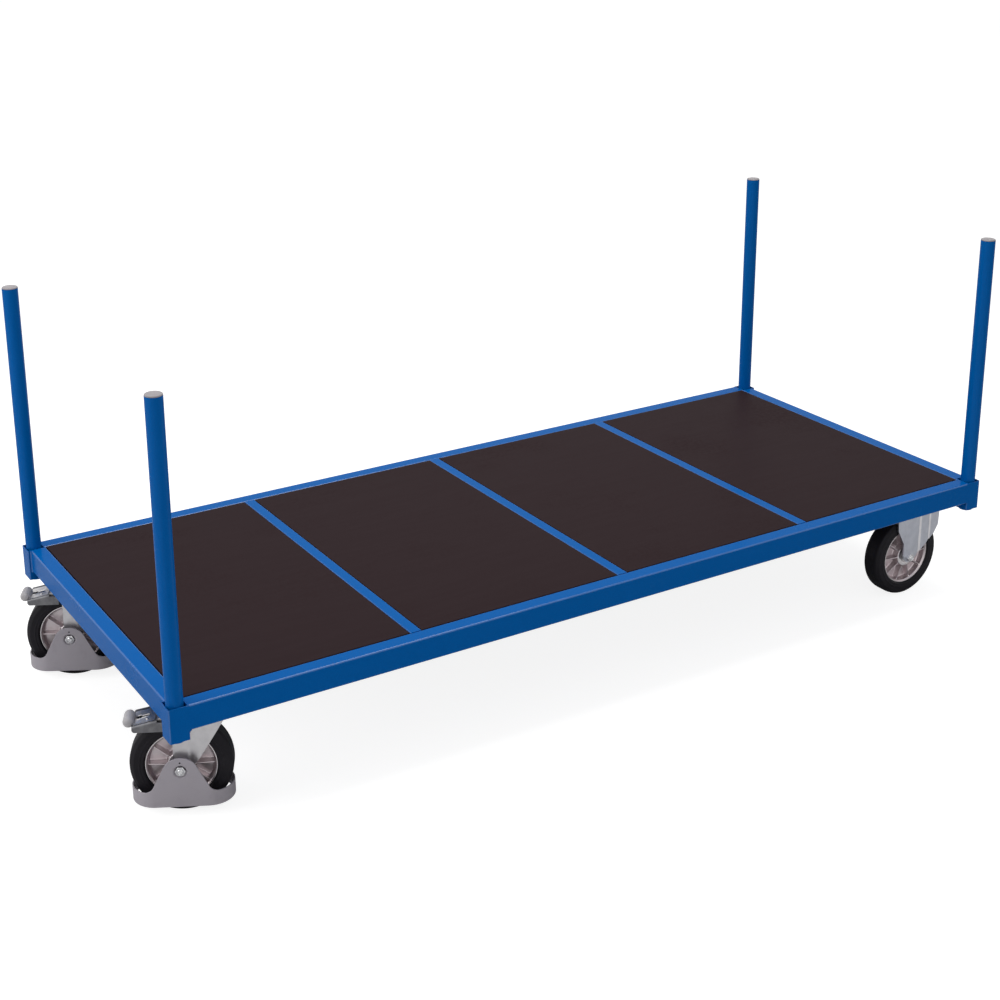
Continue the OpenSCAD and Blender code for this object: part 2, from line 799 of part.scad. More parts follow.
// A round bar with soft ends, pushed on to the tread's edge
module brake_knob(side) {
    edge_low = tread_tip_top - lever_t - slip;
    color(cap_grey) at_swivel(side) translate([0, 0, pivot_z]) difference() {
        translate([knob_x, 0, -knob_drop]) rotate([90, 0, 0]) rotate_extrude() intersection() {
            translate([-knob_d / 2, -knob_len / 2]) round_rect(knob_d, knob_len, knob_end_r);
            translate([0, -knob_len / 2]) square([knob_d, knob_len]);
        }
        translate([tread_tip - slip, -knob_len, edge_low])
            cube([knob_d, 2 * knob_len, 1.5 * lever_t + 2 * slip]);
        translate([tongue_end - slip, -tongue_w / 2 - slip, edge_low])
            cube([knob_d, tongue_w + 2 * slip, lever_t + 2 * slip]);
    }
}

module brake_shoe(side) {
    color(rubber) at_swivel(side) over_tyre(shoe_low, shoe_top, shoe_start_angle, shoe_end_angle, shoe_w);
}

// Fixed castor

module fixed_fork(side) {
    color(zinc) at_fixed(side) difference() {
        union() {
            translate([fixed_offset - plate_len / 2, -plate_w / 2, plate_low])
                cube([plate_len, plate_w, plate_t]);
            for (y = [-fixed_w / 2, fixed_gap / 2]) upright(y, fork_t) translate([0, wheel_r]) {
                circle(r = fixed_end_r);
                polygon([
                    [fixed_offset - plate_len / 2, plate_low - wheel_r],
                    [fixed_offset + plate_len / 2, plate_low - wheel_r],
                    [fixed_brow_x, fixed_brow_rise], [fixed_shin_x, fixed_shin_rise],
                    [fixed_toe_x, fixed_toe_rise], [fixed_end_r / 2, -fixed_end_r],
                    [-fixed_end_r / 2, -fixed_end_r], [-fixed_ankle, 0],
                    [-fixed_waist, fixed_waist_rise], [-fixed_knee, fixed_knee_rise]]);
            }
        }
        at_axle() across(-fixed_w, 2 * fixed_w, axle_d / 2 + run_fit);
        translate([fixed_offset, 0, plate_low - over])
            plate_holes() cylinder(h = plate_t + 2 * over, d = bolt_d + bolt_play);
    }
}

module fixed_axle(side) {
    color(zinc) at_fixed(side) at_axle() {
        axle_bolt(fixed_w / 2);
        spacers(fixed_gap);
    }
}

side_rail(front);  // side_rail_front
side_rail(back);  // side_rail_back
end_rail(left);  // end_rail_left
end_rail(right);  // end_rail_right
cross_bar(1);  // cross_bar_1
cross_bar(2);  // cross_bar_2
cross_bar(3);  // cross_bar_3
socket(front, left);  // socket_front_left
socket(front, right);  // socket_front_right
socket(back, left);  // socket_back_left
socket(back, right);  // socket_back_right
board_ledges();
castor_seats();
board(1);  // board_1
board(2);  // board_2
board(3);  // board_3
board(4);  // board_4
castor_bolts();
stake(front, left);  // stake_front_left
stake(front, right);  // stake_front_right
stake(back, left);  // stake_back_left
stake(back, right);  // stake_back_right
stake_cap(front, left);  // cap_front_left
stake_cap(front, right);  // cap_front_right
stake_cap(back, left);  // cap_back_left
stake_cap(back, right);  // cap_back_right
head_plate(front);  // head_plate_front
kingpin(front);  // kingpin_front
swivel_balls(front);  // swivel_balls_front
fork(front);  // fork_front
axle(front);  // axle_front
at_swivel(front) bearings();  // bearings_front
at_swivel(front) rim();  // rim_front
at_swivel(front) tyre();  // tyre_front
foot_guard(front);  // foot_guard_front
brake_lever(front);  // brake_lever_front
brake_knob(front);  // brake_knob_front
brake_shoe(front);  // brake_shoe_front
head_plate(back);  // head_plate_back
kingpin(back);  // kingpin_back
swivel_balls(back);  // swivel_balls_back
fork(back);  // fork_back
axle(back);  // axle_back
at_swivel(back) bearings();  // bearings_back
at_swivel(back) rim();  // rim_back
at_swivel(back) tyre();  // tyre_back
foot_guard(back);  // foot_guard_back
brake_lever(back);  // brake_lever_back
brake_knob(back);  // brake_knob_back
brake_shoe(back);  // brake_shoe_back
fixed_fork(front);  // fixed_fork_front
fixed_axle(front);  // fixed_axle_front
at_fixed(front) bearings();  // fixed_bearings_front
at_fixed(front) rim();  // fixed_rim_front
at_fixed(front) tyre();  // fixed_tyre_front
fixed_fork(back);  // fixed_fork_back
fixed_axle(back);  // fixed_axle_back
at_fixed(back) bearings();  // fixed_bearings_back
at_fixed(back) rim();  // fixed_rim_back
at_fixed(back) tyre();  // fixed_tyre_back
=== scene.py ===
"""Looks of the stake cart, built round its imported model.

Every piece is modelled in millimetres and goes to metres when it is finished.
A castor's own pieces are modelled with the wheel's foot as origin, x towards the
swivel axis or along the cart, y along the axle and z up.
"""
import json
import math

import bmesh
import bpy
from mathutils import Matrix, Vector

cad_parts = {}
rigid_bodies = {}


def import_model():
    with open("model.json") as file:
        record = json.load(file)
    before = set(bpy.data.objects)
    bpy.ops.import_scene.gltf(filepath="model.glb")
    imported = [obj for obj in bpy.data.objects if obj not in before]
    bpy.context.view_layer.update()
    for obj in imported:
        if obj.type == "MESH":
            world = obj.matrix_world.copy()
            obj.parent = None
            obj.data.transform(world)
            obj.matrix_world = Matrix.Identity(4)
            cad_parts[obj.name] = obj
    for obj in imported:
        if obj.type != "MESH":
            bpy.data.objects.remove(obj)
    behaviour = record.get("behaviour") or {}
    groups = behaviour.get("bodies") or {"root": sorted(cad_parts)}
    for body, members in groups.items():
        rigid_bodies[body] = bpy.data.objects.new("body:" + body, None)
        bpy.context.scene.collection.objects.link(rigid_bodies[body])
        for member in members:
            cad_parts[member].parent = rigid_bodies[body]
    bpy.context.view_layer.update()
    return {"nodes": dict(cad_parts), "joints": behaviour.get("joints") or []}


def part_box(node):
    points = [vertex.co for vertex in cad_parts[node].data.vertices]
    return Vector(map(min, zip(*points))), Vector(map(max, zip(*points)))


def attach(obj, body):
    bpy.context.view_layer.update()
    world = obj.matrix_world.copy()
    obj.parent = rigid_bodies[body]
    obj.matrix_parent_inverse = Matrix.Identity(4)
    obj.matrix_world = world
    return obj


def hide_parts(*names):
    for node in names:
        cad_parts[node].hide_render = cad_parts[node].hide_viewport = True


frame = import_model()

MM = 0.001
LEFT, RIGHT = "left", "right"
FRONT, BACK = "front", "back"
JOINTS = {joint["name"]: joint for joint in frame["joints"]}

# The camera: where it stands, how it is turned, and its picture
CAMERA_PLACE = (-1968.5, -3056.2, 1828.1)
CAMERA_HEADING = 31.19
CAMERA_PITCH = -17.43
CAMERA_ROLL = -0.49
PICTURE_WIDTH = 1000
FOCAL_PIXELS = 1692.2
CENTRE_COLUMN = 470
CENTRE_ROW = 350
SENSOR = 36
FAR_CLIP = 200

# Steps round a full turn of turned pieces
ROUND_STEPS = 96
TUBE_STEPS = 64
AXLE_STEPS = 48
PIN_STEPS = 32
SMALL_STEPS = 24
SPOT_STEPS = 20
ARC_STEPS = 6

# Distances at which vertices are taken as one, and the angle under which faces are one
CLOSE = 1e-4
MERGE = 1e-3
ONE_FACE = math.radians(0.5)


# Meshes

def filleted(corners, closed=True):
    """Points of an outline whose corners are (a, b) or (a, b, radius of the round there)."""
    points = []
    count = len(corners)
    for i, corner in enumerate(corners):
        here = Vector(corner[:2])
        radius = corner[2] if len(corner) > 2 else 0
        at_end = not closed and i in (0, count - 1)
        if radius <= 0 or at_end:
            points.append(here)
            continue
        before = (Vector(corners[i - 1][:2]) - here).normalized()
        after = (Vector(corners[(i + 1) % count][:2]) - here).normalized()
        half = math.acos(max(-1, min(1, before.dot(after)))) / 2
        if half > math.radians(89):
            points.append(here)
            continue
        reach = radius / math.tan(half)
        middle = here + (before + after).normalized() * radius / math.sin(half)
        start = here + before * reach - middle
        sweep = start.angle_signed(here + after * reach - middle)
        for step in range(ARC_STEPS + 1):
            turned = start.copy()
            turned.rotate(Matrix.Rotation(-sweep * step / ARC_STEPS, 2))
            points.append(middle + turned)
    return points


def axis_matrix(axis):
    """Turns a shape that is drawn about Z so that it lies about the axis."""
    return Vector((0, 0, 1)).rotation_difference(Vector(axis)).to_matrix().to_4x4()


def lathe(bm, profile, axis=(0, 0, 1), centre=(0, 0, 0), closed=True, steps=ROUND_STEPS):
    """Spins a profile round an axis; its corners are (radius, height) and maybe a round."""
    verts = [bm.verts.new((radius, 0, height)) for radius, height in filleted(profile, closed)]
    pairs = list(zip(verts, verts[1:]))
    if closed:
        pairs.append((verts[-1], verts[0]))
    edges = [bm.edges.new(pair) for pair in pairs]
    kept = set(bm.verts) - set(verts)
    bmesh.ops.spin(
        bm, geom=verts + edges, cent=(0, 0, 0), axis=(0, 0, 1), dvec=(0, 0, 0),
        angle=math.tau, steps=steps, use_merge=True)
    made = [vert for vert in bm.verts if vert not in kept]
    bmesh.ops.remove_doubles(bm, verts=made, dist=CLOSE)
    made = [vert for vert in bm.verts if vert not in kept]
    faces = list({face for vert in made for face in vert.link_faces})
    bmesh.ops.recalc_face_normals(bm, faces=faces)
    bmesh.ops.transform(bm, matrix=Matrix.Translation(centre) @ axis_matrix(axis), verts=made)
    return made


def verts_in(made):
    """The vertices among what an operator gives back."""
    return [item for item in made["geom"] if isinstance(item, bmesh.types.BMVert)]


def turned_out(degrees):
    """The way that an angle points in x and z."""
    angle = math.radians(degrees)
    return Vector((math.cos(angle), 0, math.sin(angle)))


def linked(verts, kind):
    """The edges or faces whose corners are all among some vertices."""
    inside = set(verts)
    found = {item for vert in verts for item in getattr(vert, kind)}
    return [item for item in found if inside.issuperset(item.verts)]


def cut(bm, verts, place, normal, clear=False):
    """Cuts a shape with a plane; what lies past it goes if clear is set. Returns its vertices."""
    others = set(bm.verts) - set(verts)
    geom = list(verts) + linked(verts, "link_edges") + linked(verts, "link_faces")
    bmesh.ops.bisect_plane(
        bm, geom=geom, dist=CLOSE, plane_co=place, plane_no=normal, clear_outer=clear)
    return [vert for vert in bm.verts if vert not in others]


def crease_depth(stations, x):
    """How far a sheet is pressed in at x, between stations of (x, depth)."""
    for (left, one), (right, other) in zip(stations, stations[1:]):
        if left <= x <= right:
            return one + (other - one) * (x - left) / (right - left)
    return 0.0


def press_creases(bm, verts, stations, fade=None):
    """Presses upright creases into a sheet that faces y; they fade out between two heights."""
    for x, _ in stations:
        verts = cut(bm, verts, (x, 0, 0), (1, 0, 0))
    for vert in verts:
        share = 1
        if fade:
            share = min(max((fade[1] - vert.co.z) / (fade[1] - fade[0]), 0), 1)
        vert.co.y -= math.copysign(crease_depth(stations, vert.co.x) * share, vert.co.y)
    return verts


def bevel(bm, geom, width, segments=2, affect="EDGES"):
    """Rounds edges or corners."""
    bmesh.ops.bevel(
        bm, geom=geom, offset=width, segments=segments, profile=0.5, affect=affect,
        clamp_overlap=True, material=-1)


def bevel_sharp(bm, width, segments=2, angle=30):
    """Rounds every edge that is sharper than the angle."""
    bevel(bm, [
        edge for edge in bm.edges
        if len(edge.link_faces) == 2 and edge.calc_face_angle(0) > math.radians(angle)],
        width, segments)


def plate(bm, outline, low, high, edge=0.0, level=False, creases=()):
    """A flat plate; its corners are drawn in x and z or, on a level plate, in x and y."""
    def at(a, b, depth):
        return (a, b, depth) if level else (a, depth, b)

    verts = [bm.verts.new(at(a, b, low)) for a, b in filleted(outline)]
    face = bm.faces.new(verts)
    top = verts_in(bmesh.ops.extrude_face_region(bm, geom=[face]))
    bmesh.ops.translate(bm, vec=at(0, 0, high - low), verts=top)
    verts += top
    if creases:
        verts = press_creases(bm, verts, creases)
    faces = linked(verts, "link_faces")
    bmesh.ops.recalc_face_normals(bm, faces=faces)
    if edge > 0:
        flat = {face for face in faces if abs(face.normal[2 if level else 1]) > 0.8}
        rims = [e for face in flat for e in face.edges if not flat.issuperset(e.link_faces)]
        bevel(bm, list(set(rims)), edge)
    return verts


def copy_of(node, edge=0.0, segments=2):
    """A merged copy of a CAD node in millimetres, with its sharp edges rounded."""
    bm = bmesh.new()
    bm.from_mesh(frame["nodes"][node].data)
    bmesh.ops.scale(bm, vec=(1 / MM,) * 3, verts=bm.verts)
    bmesh.ops.remove_doubles(bm, verts=bm.verts, dist=MERGE)
    bmesh.ops.dissolve_limit(
        bm, angle_limit=ONE_FACE, verts=bm.verts, edges=bm.edges,
        use_dissolve_boundaries=False)
    if edge > 0:
        bevel_sharp(bm, edge, segments)
    return bm


def dress_copy(node, ending, body, finish, edge=0.0, segments=2, smooth=35):
    """Finishes a CAD node in its own shape, with its sharp edges rounded."""
    finish_piece(
        f"{node}_{ending}", copy_of(node, edge, segments), body, finish, [node],
        smooth=smooth)


def finish_piece(name, bm, body, finish, replaces=(), place=None, smooth=35):
    """Turns a bmesh in millimetres into a piece that rides on a body."""
    matrix = Matrix.Scale(MM, 4)
    if place is not None:
        matrix = matrix @ place
    bmesh.ops.transform(bm, matrix=matrix, verts=bm.verts)
    mesh = bpy.data.meshes.new(name)
    bm.to_mesh(mesh)
    bm.free()
    for polygon in mesh.polygons:
        polygon.use_smooth = True
    mesh.set_sharp_from_angle(angle=math.radians(smooth))
    for material in finish if isinstance(finish, (list, tuple)) else [finish]:
        mesh.materials.append(material)
    piece = bpy.data.objects.new(name, mesh)
    bpy.context.scene.collection.objects.link(piece)
    normals = piece.modifiers.new("Flat faces first", "WEIGHTED_NORMAL")
    normals.keep_sharp = True
    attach(piece, body)
    if replaces:
        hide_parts(*replaces)
    return piece


def node_box(node):
    """A CAD node's lowest and highest corners, in millimetres."""
    low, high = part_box(node)
    return low / MM, high / MM


# Materials

def add_node(tree, kind, inputs=None, **settings):
    """A new node, with its settings and the values or links of its inputs."""
    node = tree.nodes.new(kind)
    for name, value in settings.items():
        setattr(node, name, value)
    for name, value in (inputs or {}).items():
        if isinstance(value, bpy.types.NodeSocket):
            tree.links.new(value, node.inputs[name])
        else:
            node.inputs[name].default_value = value
    return node


def ramp(tree, value, low, high, out_low=0.0, out_high=1.0):
    """Maps a value from one range to another, without going past its ends."""
    return add_node(
        tree, "ShaderNodeMapRange",
        {"Value": value, "From Min": low, "From Max": high, "To Min": out_low, "To Max": out_high},
        interpolation_type="SMOOTHSTEP").outputs["Result"]


def multiply(tree, one, other):
    """The product of two values."""
    return add_node(tree, "ShaderNodeMath", {0: one, 1: other}, operation="MULTIPLY").outputs[0]


def mixed(tree, factor, one, other):
    """One colour where the factor is 0, the other where it is 1."""
    node = add_node(tree, "ShaderNodeMix", data_type="RGBA")
    for index, value in ((0, factor), (6, one), (7, other)):
        if isinstance(value, bpy.types.NodeSocket):
            tree.links.new(value, node.inputs[index])
        else:
            node.inputs[index].default_value = value
    return node.outputs[2]


FLOAT, VECTOR = "NodeSocketFloat", "NodeSocketVector"


def new_group(name, defaults, **outputs):
    """A node group with its inputs' defaults and its outputs, and its inputs seen from inside."""
    group = bpy.data.node_groups.new(name, "ShaderNodeTree")
    for title, value in {"Place": (0, 0, 0), **defaults}.items():
        kind = VECTOR if isinstance(value, tuple) else FLOAT
        socket = group.interface.new_socket(name=title, in_out="INPUT", socket_type=kind)
        socket.default_value = value
    for title, kind in outputs.items():
        group.interface.new_socket(name=title, in_out="OUTPUT", socket_type=kind)
    return group, add_node(group, "NodeGroupInput").outputs


def put_out_relief(group, noise, relief, depth):
    """Puts out a group's noise as a mask, and as a normal with the same relief."""
    bump = add_node(
        group, "ShaderNodeBump", {"Strength": relief, "Distance": depth, "Height": noise})
    add_node(group, "NodeGroupOutput", {
        "Mask": ramp(group, noise, 0.3, 0.7), "Normal": bump.outputs["Normal"]})


def make_grain_group():
    """Even noise over the surface."""
    defaults = {"Scale": 800.0, "Detail": 3.0, "Relief": 0.1, "Depth": 0.0002}
    group, inside = new_group("even grain", defaults, Mask=FLOAT, Normal=VECTOR)
    noise = add_node(group, "ShaderNodeTexNoise", {
        "Vector": inside["Place"], "Scale": inside["Scale"], "Detail": inside["Detail"]})
    put_out_relief(group, noise.outputs["Fac"], inside["Relief"], inside["Depth"])
    return group


LINE_DEPTH = 0.0001


def make_brushed_group():
    """Fine lines along one way of the surface, from noise that is drawn out."""
    defaults = {"Stretch": (1, 1, 1), "Relief": 0.1}
    group, inside = new_group("drawn lines", defaults, Mask=FLOAT, Normal=VECTOR)
    drawn = add_node(group, "ShaderNodeVectorMath", {
        0: inside["Place"], 1: inside["Stretch"]}, operation="MULTIPLY")
    noise = add_node(group, "ShaderNodeTexNoise", {
        "Vector": drawn.outputs[0], "Scale": 1.0, "Detail": 3.0})
    put_out_relief(group, noise.outputs["Fac"], inside["Relief"], LINE_DEPTH)
    return group


def make_dust_group():
    """Soft clouds of handling marks and dust, in two sizes."""
    group, inside = new_group("handling dust", {"Scale": 6.0}, Mask=FLOAT)
    clouds = add_node(group, "ShaderNodeTexNoise", {
        "Vector": inside["Place"], "Scale": inside["Scale"], "Detail": 5.0, "Roughness": 0.6})
    fine = add_node(group, "ShaderNodeTexNoise", {
        "Vector": inside["Place"], "Scale": 90.0, "Detail": 4.0, "Roughness": 0.7})
    add_node(group, "NodeGroupOutput", {"Mask": multiply(
        group, ramp(group, clouds.outputs["Fac"], 0.42, 0.72),
        ramp(group, fine.outputs["Fac"], 0.3, 0.65))})
    return group


GRAIN = make_grain_group()
BRUSHED = make_brushed_group()
DUST = make_dust_group()


def use_group(tree, group, inputs):
    """Places a node group in a material with the material's own values."""
    return add_node(tree, "ShaderNodeGroup", inputs, node_tree=group).outputs


def new_material(name, **constants):
    """A material with its own Principled shader, and its place on the object."""
    material = bpy.data.materials.new(name)
    material.use_nodes = True
    tree = material.node_tree
    shader = tree.nodes["Principled BSDF"]
    for socket, value in constants.items():
        shader.inputs[socket.replace("_", " ")].default_value = value
    place = add_node(tree, "ShaderNodeTexCoord").outputs["Object"]
    return material, tree, shader, place


def join(tree, shader, **sources):
    """Links values to the shader's inputs of those names."""
    for socket, source in sources.items():
        tree.links.new(source, shader.inputs[socket.replace("_", " ")])


def blue_paint(name, flat_gloss, edge_gloss):
    """Blue powder coat with its fine orange peel, glossier where it pools on round edges."""
    material, tree, shader, place = new_material(name, Specular_IOR_Level=flat_gloss)
    peel = use_group(tree, GRAIN, {
        "Place": place, "Scale": 420.0, "Detail": 1.5, "Relief": 0.04, "Depth": 0.0004})
    facing = add_node(tree, "ShaderNodeTexCoord").outputs["Normal"]
    sizes = add_node(tree, "ShaderNodeVectorMath", {0: facing}, operation="ABSOLUTE").outputs[0]
    x, y, z = add_node(tree, "ShaderNodeSeparateXYZ", {0: sizes}).outputs
    most = add_node(tree, "ShaderNodeMath", {0: x, 1: y}, operation="MAXIMUM").outputs[0]
    most = add_node(tree, "ShaderNodeMath", {0: most, 1: z}, operation="MAXIMUM").outputs[0]
    gloss = ramp(tree, most, 0.9, 0.99, edge_gloss, flat_gloss)
    dust = use_group(tree, DUST, {"Place": place, "Scale": 7.0})["Mask"]
    base = mixed(tree, peel["Mask"], (0.0002, 0.094, 0.345, 1), (0.0003, 0.102, 0.37, 1))
    worn = mixed(tree, multiply(tree, dust, 0.04), base, (0.02, 0.12, 0.32, 1))
    rough = ramp(tree, dust, 0.0, 1.0, 0.22, 0.32)
    join(
        tree, shader, Base_Color=worn, Roughness=rough, Specular_IOR_Level=gloss,
        Normal=peel["Normal"])
    return material


def board_film():
    """Dark brown phenolic film with a faint press pattern, scuffs and dust."""
    material, tree, shader, place = new_material("board film", Specular_IOR_Level=0.01)
    press = use_group(tree, GRAIN, {
        "Place": place, "Scale": 900.0, "Detail": 2.0, "Relief": 0.12, "Depth": 0.0003})
    dust = use_group(tree, DUST, {"Place": place, "Scale": 3.5})["Mask"]
    streaks = use_group(tree, BRUSHED, {
        "Place": place, "Stretch": (6.0, 60.0, 6.0), "Relief": 0.02})["Mask"]
    base = mixed(tree, streaks, (0.0250, 0.0152, 0.0170, 1), (0.0262, 0.0162, 0.0181, 1))
    dusty = mixed(tree, multiply(tree, dust, 0.05), base, (0.060, 0.048, 0.046, 1))
    rough = ramp(tree, dust, 0.0, 1.0, 0.46, 0.62)
    join(tree, shader, Base_Color=dusty, Roughness=rough, Normal=press["Normal"])
    return material


def grained(name, clean, dusty, roughness, grain, dust_scale, **constants):
    """A surface with a fine even grain, and dust or dull clouds over its colour."""
    material, tree, shader, place = new_material(name, **constants)
    scale, detail, relief, depth = grain
    fine = use_group(tree, GRAIN, {
        "Place": place, "Scale": scale, "Detail": detail, "Relief": relief, "Depth": depth})
    dust = use_group(tree, DUST, {"Place": place, "Scale": dust_scale})["Mask"]
    base = mixed(tree, dust, clean, dusty)
    rough = ramp(tree, fine["Mask"], 0.0, 1.0, *roughness)
    join(tree, shader, Base_Color=base, Roughness=rough, Normal=fine["Normal"])
    return material


def plastic(name, dark, light, roughness):
    """Moulded plastic with a fine eroded grain and slight marks."""
    return grained(
        name, light, dark, roughness, (1500.0, 2.0, 0.15, 0.0002), 25.0, Specular_IOR_Level=0.2)


def rubber(name, dark, light, roughness):
    """Solid rubber with a soft bloom and floor dust on it."""
    return grained(
        name, dark, light, roughness, (1300.0, 3.0, 0.2, 0.0003), 18.0, Specular_IOR_Level=0.12)


def cast_aluminium():
    """Die cast aluminium, matt and slightly sandy, with duller clouds at random."""
    return grained(
        "cast aluminium", (0.58, 0.52, 0.535, 1), (0.40, 0.355, 0.365, 1), (0.3, 0.44),
        (1100.0, 3.0, 0.2, 0.0003), 30.0, Metallic=1.0)


def plated_steel(name, dark, light, roughness, stretch=(900.0, 900.0, 60.0)):
    """Zinc plated steel: cloudy crystals, drawn lines and soft differences in gloss."""
    material, tree, shader, place = new_material(name, Metallic=1.0)
    lines = use_group(tree, BRUSHED, {"Place": place, "Stretch": stretch, "Relief": 0.06})
    clouds = use_group(tree, GRAIN, {
        "Place": place, "Scale": 60.0, "Detail": 4.0, "Relief": 0.03, "Depth": 0.0002})
    base = mixed(tree, clouds["Mask"], dark, light)
    rough = ramp(tree, lines["Mask"], 0.0, 1.0, *roughness)
    join(tree, shader, Base_Color=base, Roughness=rough, Normal=lines["Normal"])
    return material


def turned_aluminium():
    """The machined rims of the casting, bright with fine turning marks."""
    material, tree, shader, place = new_material("turned aluminium", Metallic=1.0)
    sand = use_group(tree, GRAIN, {
        "Place": place, "Scale": 2200.0, "Detail": 1.0, "Relief": 0.06, "Depth": 0.0001})
    base = mixed(tree, sand["Mask"], (0.72, 0.69, 0.70, 1), (0.80, 0.77, 0.78, 1))
    rough = ramp(tree, sand["Mask"], 0.0, 1.0, 0.24, 0.32)
    join(tree, shader, Base_Color=base, Roughness=rough, Normal=sand["Normal"])
    return material


PAINT = blue_paint("blue powder coat", 0.02, 0.7)
TUBE_PAINT = blue_paint("blue tube coat", 0.03, 0.06)
BOARD = board_film()
CAP = plastic("cap plastic", (0.22, 0.21, 0.22, 1), (0.31, 0.29, 0.30, 1), (0.42, 0.55))
GUARD = plastic("guard plastic", (0.335, 0.312, 0.345, 1), (0.375, 0.35, 0.385, 1), (0.34, 0.46))
KNOB = plastic("knob plastic", (0.37, 0.355, 0.365, 1), (0.43, 0.415, 0.425, 1), (0.4, 0.52))
ZINC = plated_steel("zinc plate", (0.53, 0.52, 0.535, 1), (0.59, 0.58, 0.595, 1), (0.36, 0.42))
BLUE_ZINC = plated_steel(
    "blue zinc plate", (0.45, 0.465, 0.52, 1), (0.50, 0.515, 0.57, 1), (0.36, 0.42))
# A dark copy of the zinc: painted shade on the lever tread's sunk border
PAINTED_BORDER_SHADE = plated_steel("dull zinc", (0.13, 0.13, 0.14, 1), (0.19, 0.19, 0.20, 1), (0.4, 0.5))
# A lighter copy of the zinc: the painted highlight on the forks' crease flanks
PAINTED_CREASE_HIGHLIGHT = plated_steel(
    "burnished zinc", (0.68, 0.67, 0.69, 1), (0.74, 0.73, 0.75, 1), (0.28, 0.34))
# A near-white copy of the plate: the painted highlight on the lever tread's bends
PAINTED_FOLD_HIGHLIGHT = plated_steel("bright fold", (0.93, 0.92, 0.93, 1), (0.97, 0.96, 0.97, 1), (0.2, 0.3))
BOLT = plated_steel(
    "bolt zinc", (0.55, 0.55, 0.57, 1), (0.72, 0.72, 0.73, 1), (0.2, 0.34), (700.0, 700.0, 700.0))
BRIGHT = plated_steel(
    "bright plate", (0.60, 0.585, 0.59, 1), (0.68, 0.665, 0.67, 1), (0.3, 0.4))
CAST = cast_aluminium()
TURNED = turned_aluminium()
TYRE = rubber(
    "tyre rubber", (0.0120, 0.0110, 0.0140, 1), (0.0180, 0.0165, 0.0205, 1), (0.42, 0.58))
# Real rubber on the brake shoe; also the painted shade of the lever's pan and the guard's pip
SHOE_RUBBER_AND_SHADE = rubber("shoe rubber", (0.02, 0.02, 0.02, 1), (0.035, 0.034, 0.033, 1), (0.55, 0.7))

# Places in a piece's list of finishes, after its first
SECOND, THIRD, FOURTH = 1, 2, 3


# Platform

def make_rails():
    """Rails and cross bars as they are, with their round long edges shaded smooth."""
    names = ["side_rail_front", "side_rail_back", "end_rail_left", "end_rail_right"]
    names += [f"cross_bar_{i}" for i in (1, 2, 3)]
    for name in names:
        dress_copy(name, "tube", "root", PAINT, smooth=50)


FLAT_EDGE = 0.5
BOARD_EDGE = 0.8


def make_flats():
    """Board ledges and castor seats: flats with broken edges."""
    for name in ("board_ledges", "castor_seats"):
        dress_copy(name, "flats", "root", PAINT, FLAT_EDGE)


def make_boards():
    """The four deck boards with softly broken edges."""
    for i in (1, 2, 3, 4):
        dress_copy(f"board_{i}", "panel", "root", BOARD, BOARD_EDGE, segments=3)


SOCKET_WALL = 2
SOCKET_EDGE_R = 3
SOCKET_BASE_T = 4
SOCKET_BASE_R = 16.5
RAIL_W = 35
SOCKET_STEP = 7.5
WELD = 4
INTO = 0.3
TUCK = 0.1
SEAM_SHORT = 1.5
GROUND_SEAM, GROUND_SHORT, GROUND_SUNK = 0.2, 0.4, 0.05
SOCKET_BREAK = 0.5


def weld(bm, corner, open_ways, low, high, level=False):
    """A concave seam in an inner corner, open in two directions."""
    (a, b), (way_a, way_b) = corner, open_ways
    return plate(bm, [
        (a + way_a * WELD, b - way_b * INTO), (a + way_a * WELD, b), (a, b, WELD * 0.9),
        (a, b + way_b * WELD), (a - way_a * INTO, b + way_b * WELD),
        (a - way_a * INTO, b - way_b * INTO)], low, high, level=level)


def make_socket_welds(bm, half, outer_x, outer_y):
    """Seams between a socket and its two rails, and the flush ground one on the long side."""
    low, high = node_box("side_rail_front")
    seam = sorted((outer_y * (half - TUCK), outer_y * (half - RAIL_W + TUCK)))
    weld(bm, (-outer_x * half, low.z), (-outer_x, -1), *seam)
    seam = sorted((outer_x * (half - SOCKET_STEP - TUCK), -outer_x * (half - TUCK)))
    verts = weld(bm, (-outer_y * half, low.z), (-outer_y, -1), *seam)
    for vert in verts:
        vert.co.xy = vert.co.yx
    bmesh.ops.recalc_face_normals(bm, faces=linked(verts, "link_faces"))
    rail_face = outer_x * (half - SOCKET_STEP)
    weld(
        bm, (rail_face, -outer_y * half), (outer_x, -outer_y), low.z, high.z - SEAM_SHORT,
        level=True)
    x, y = -outer_x * half, outer_y * (half - GROUND_SUNK)
    reach = SOCKET_EDGE_R + GROUND_SEAM
    plate(bm, [
        (x + outer_x * reach, y), (x - outer_x, y), (x - outer_x, y - outer_y * SOCKET_EDGE_R),
        (x, y - outer_y * reach)], low.z + SOCKET_BREAK, high.z - GROUND_SHORT, level=True)


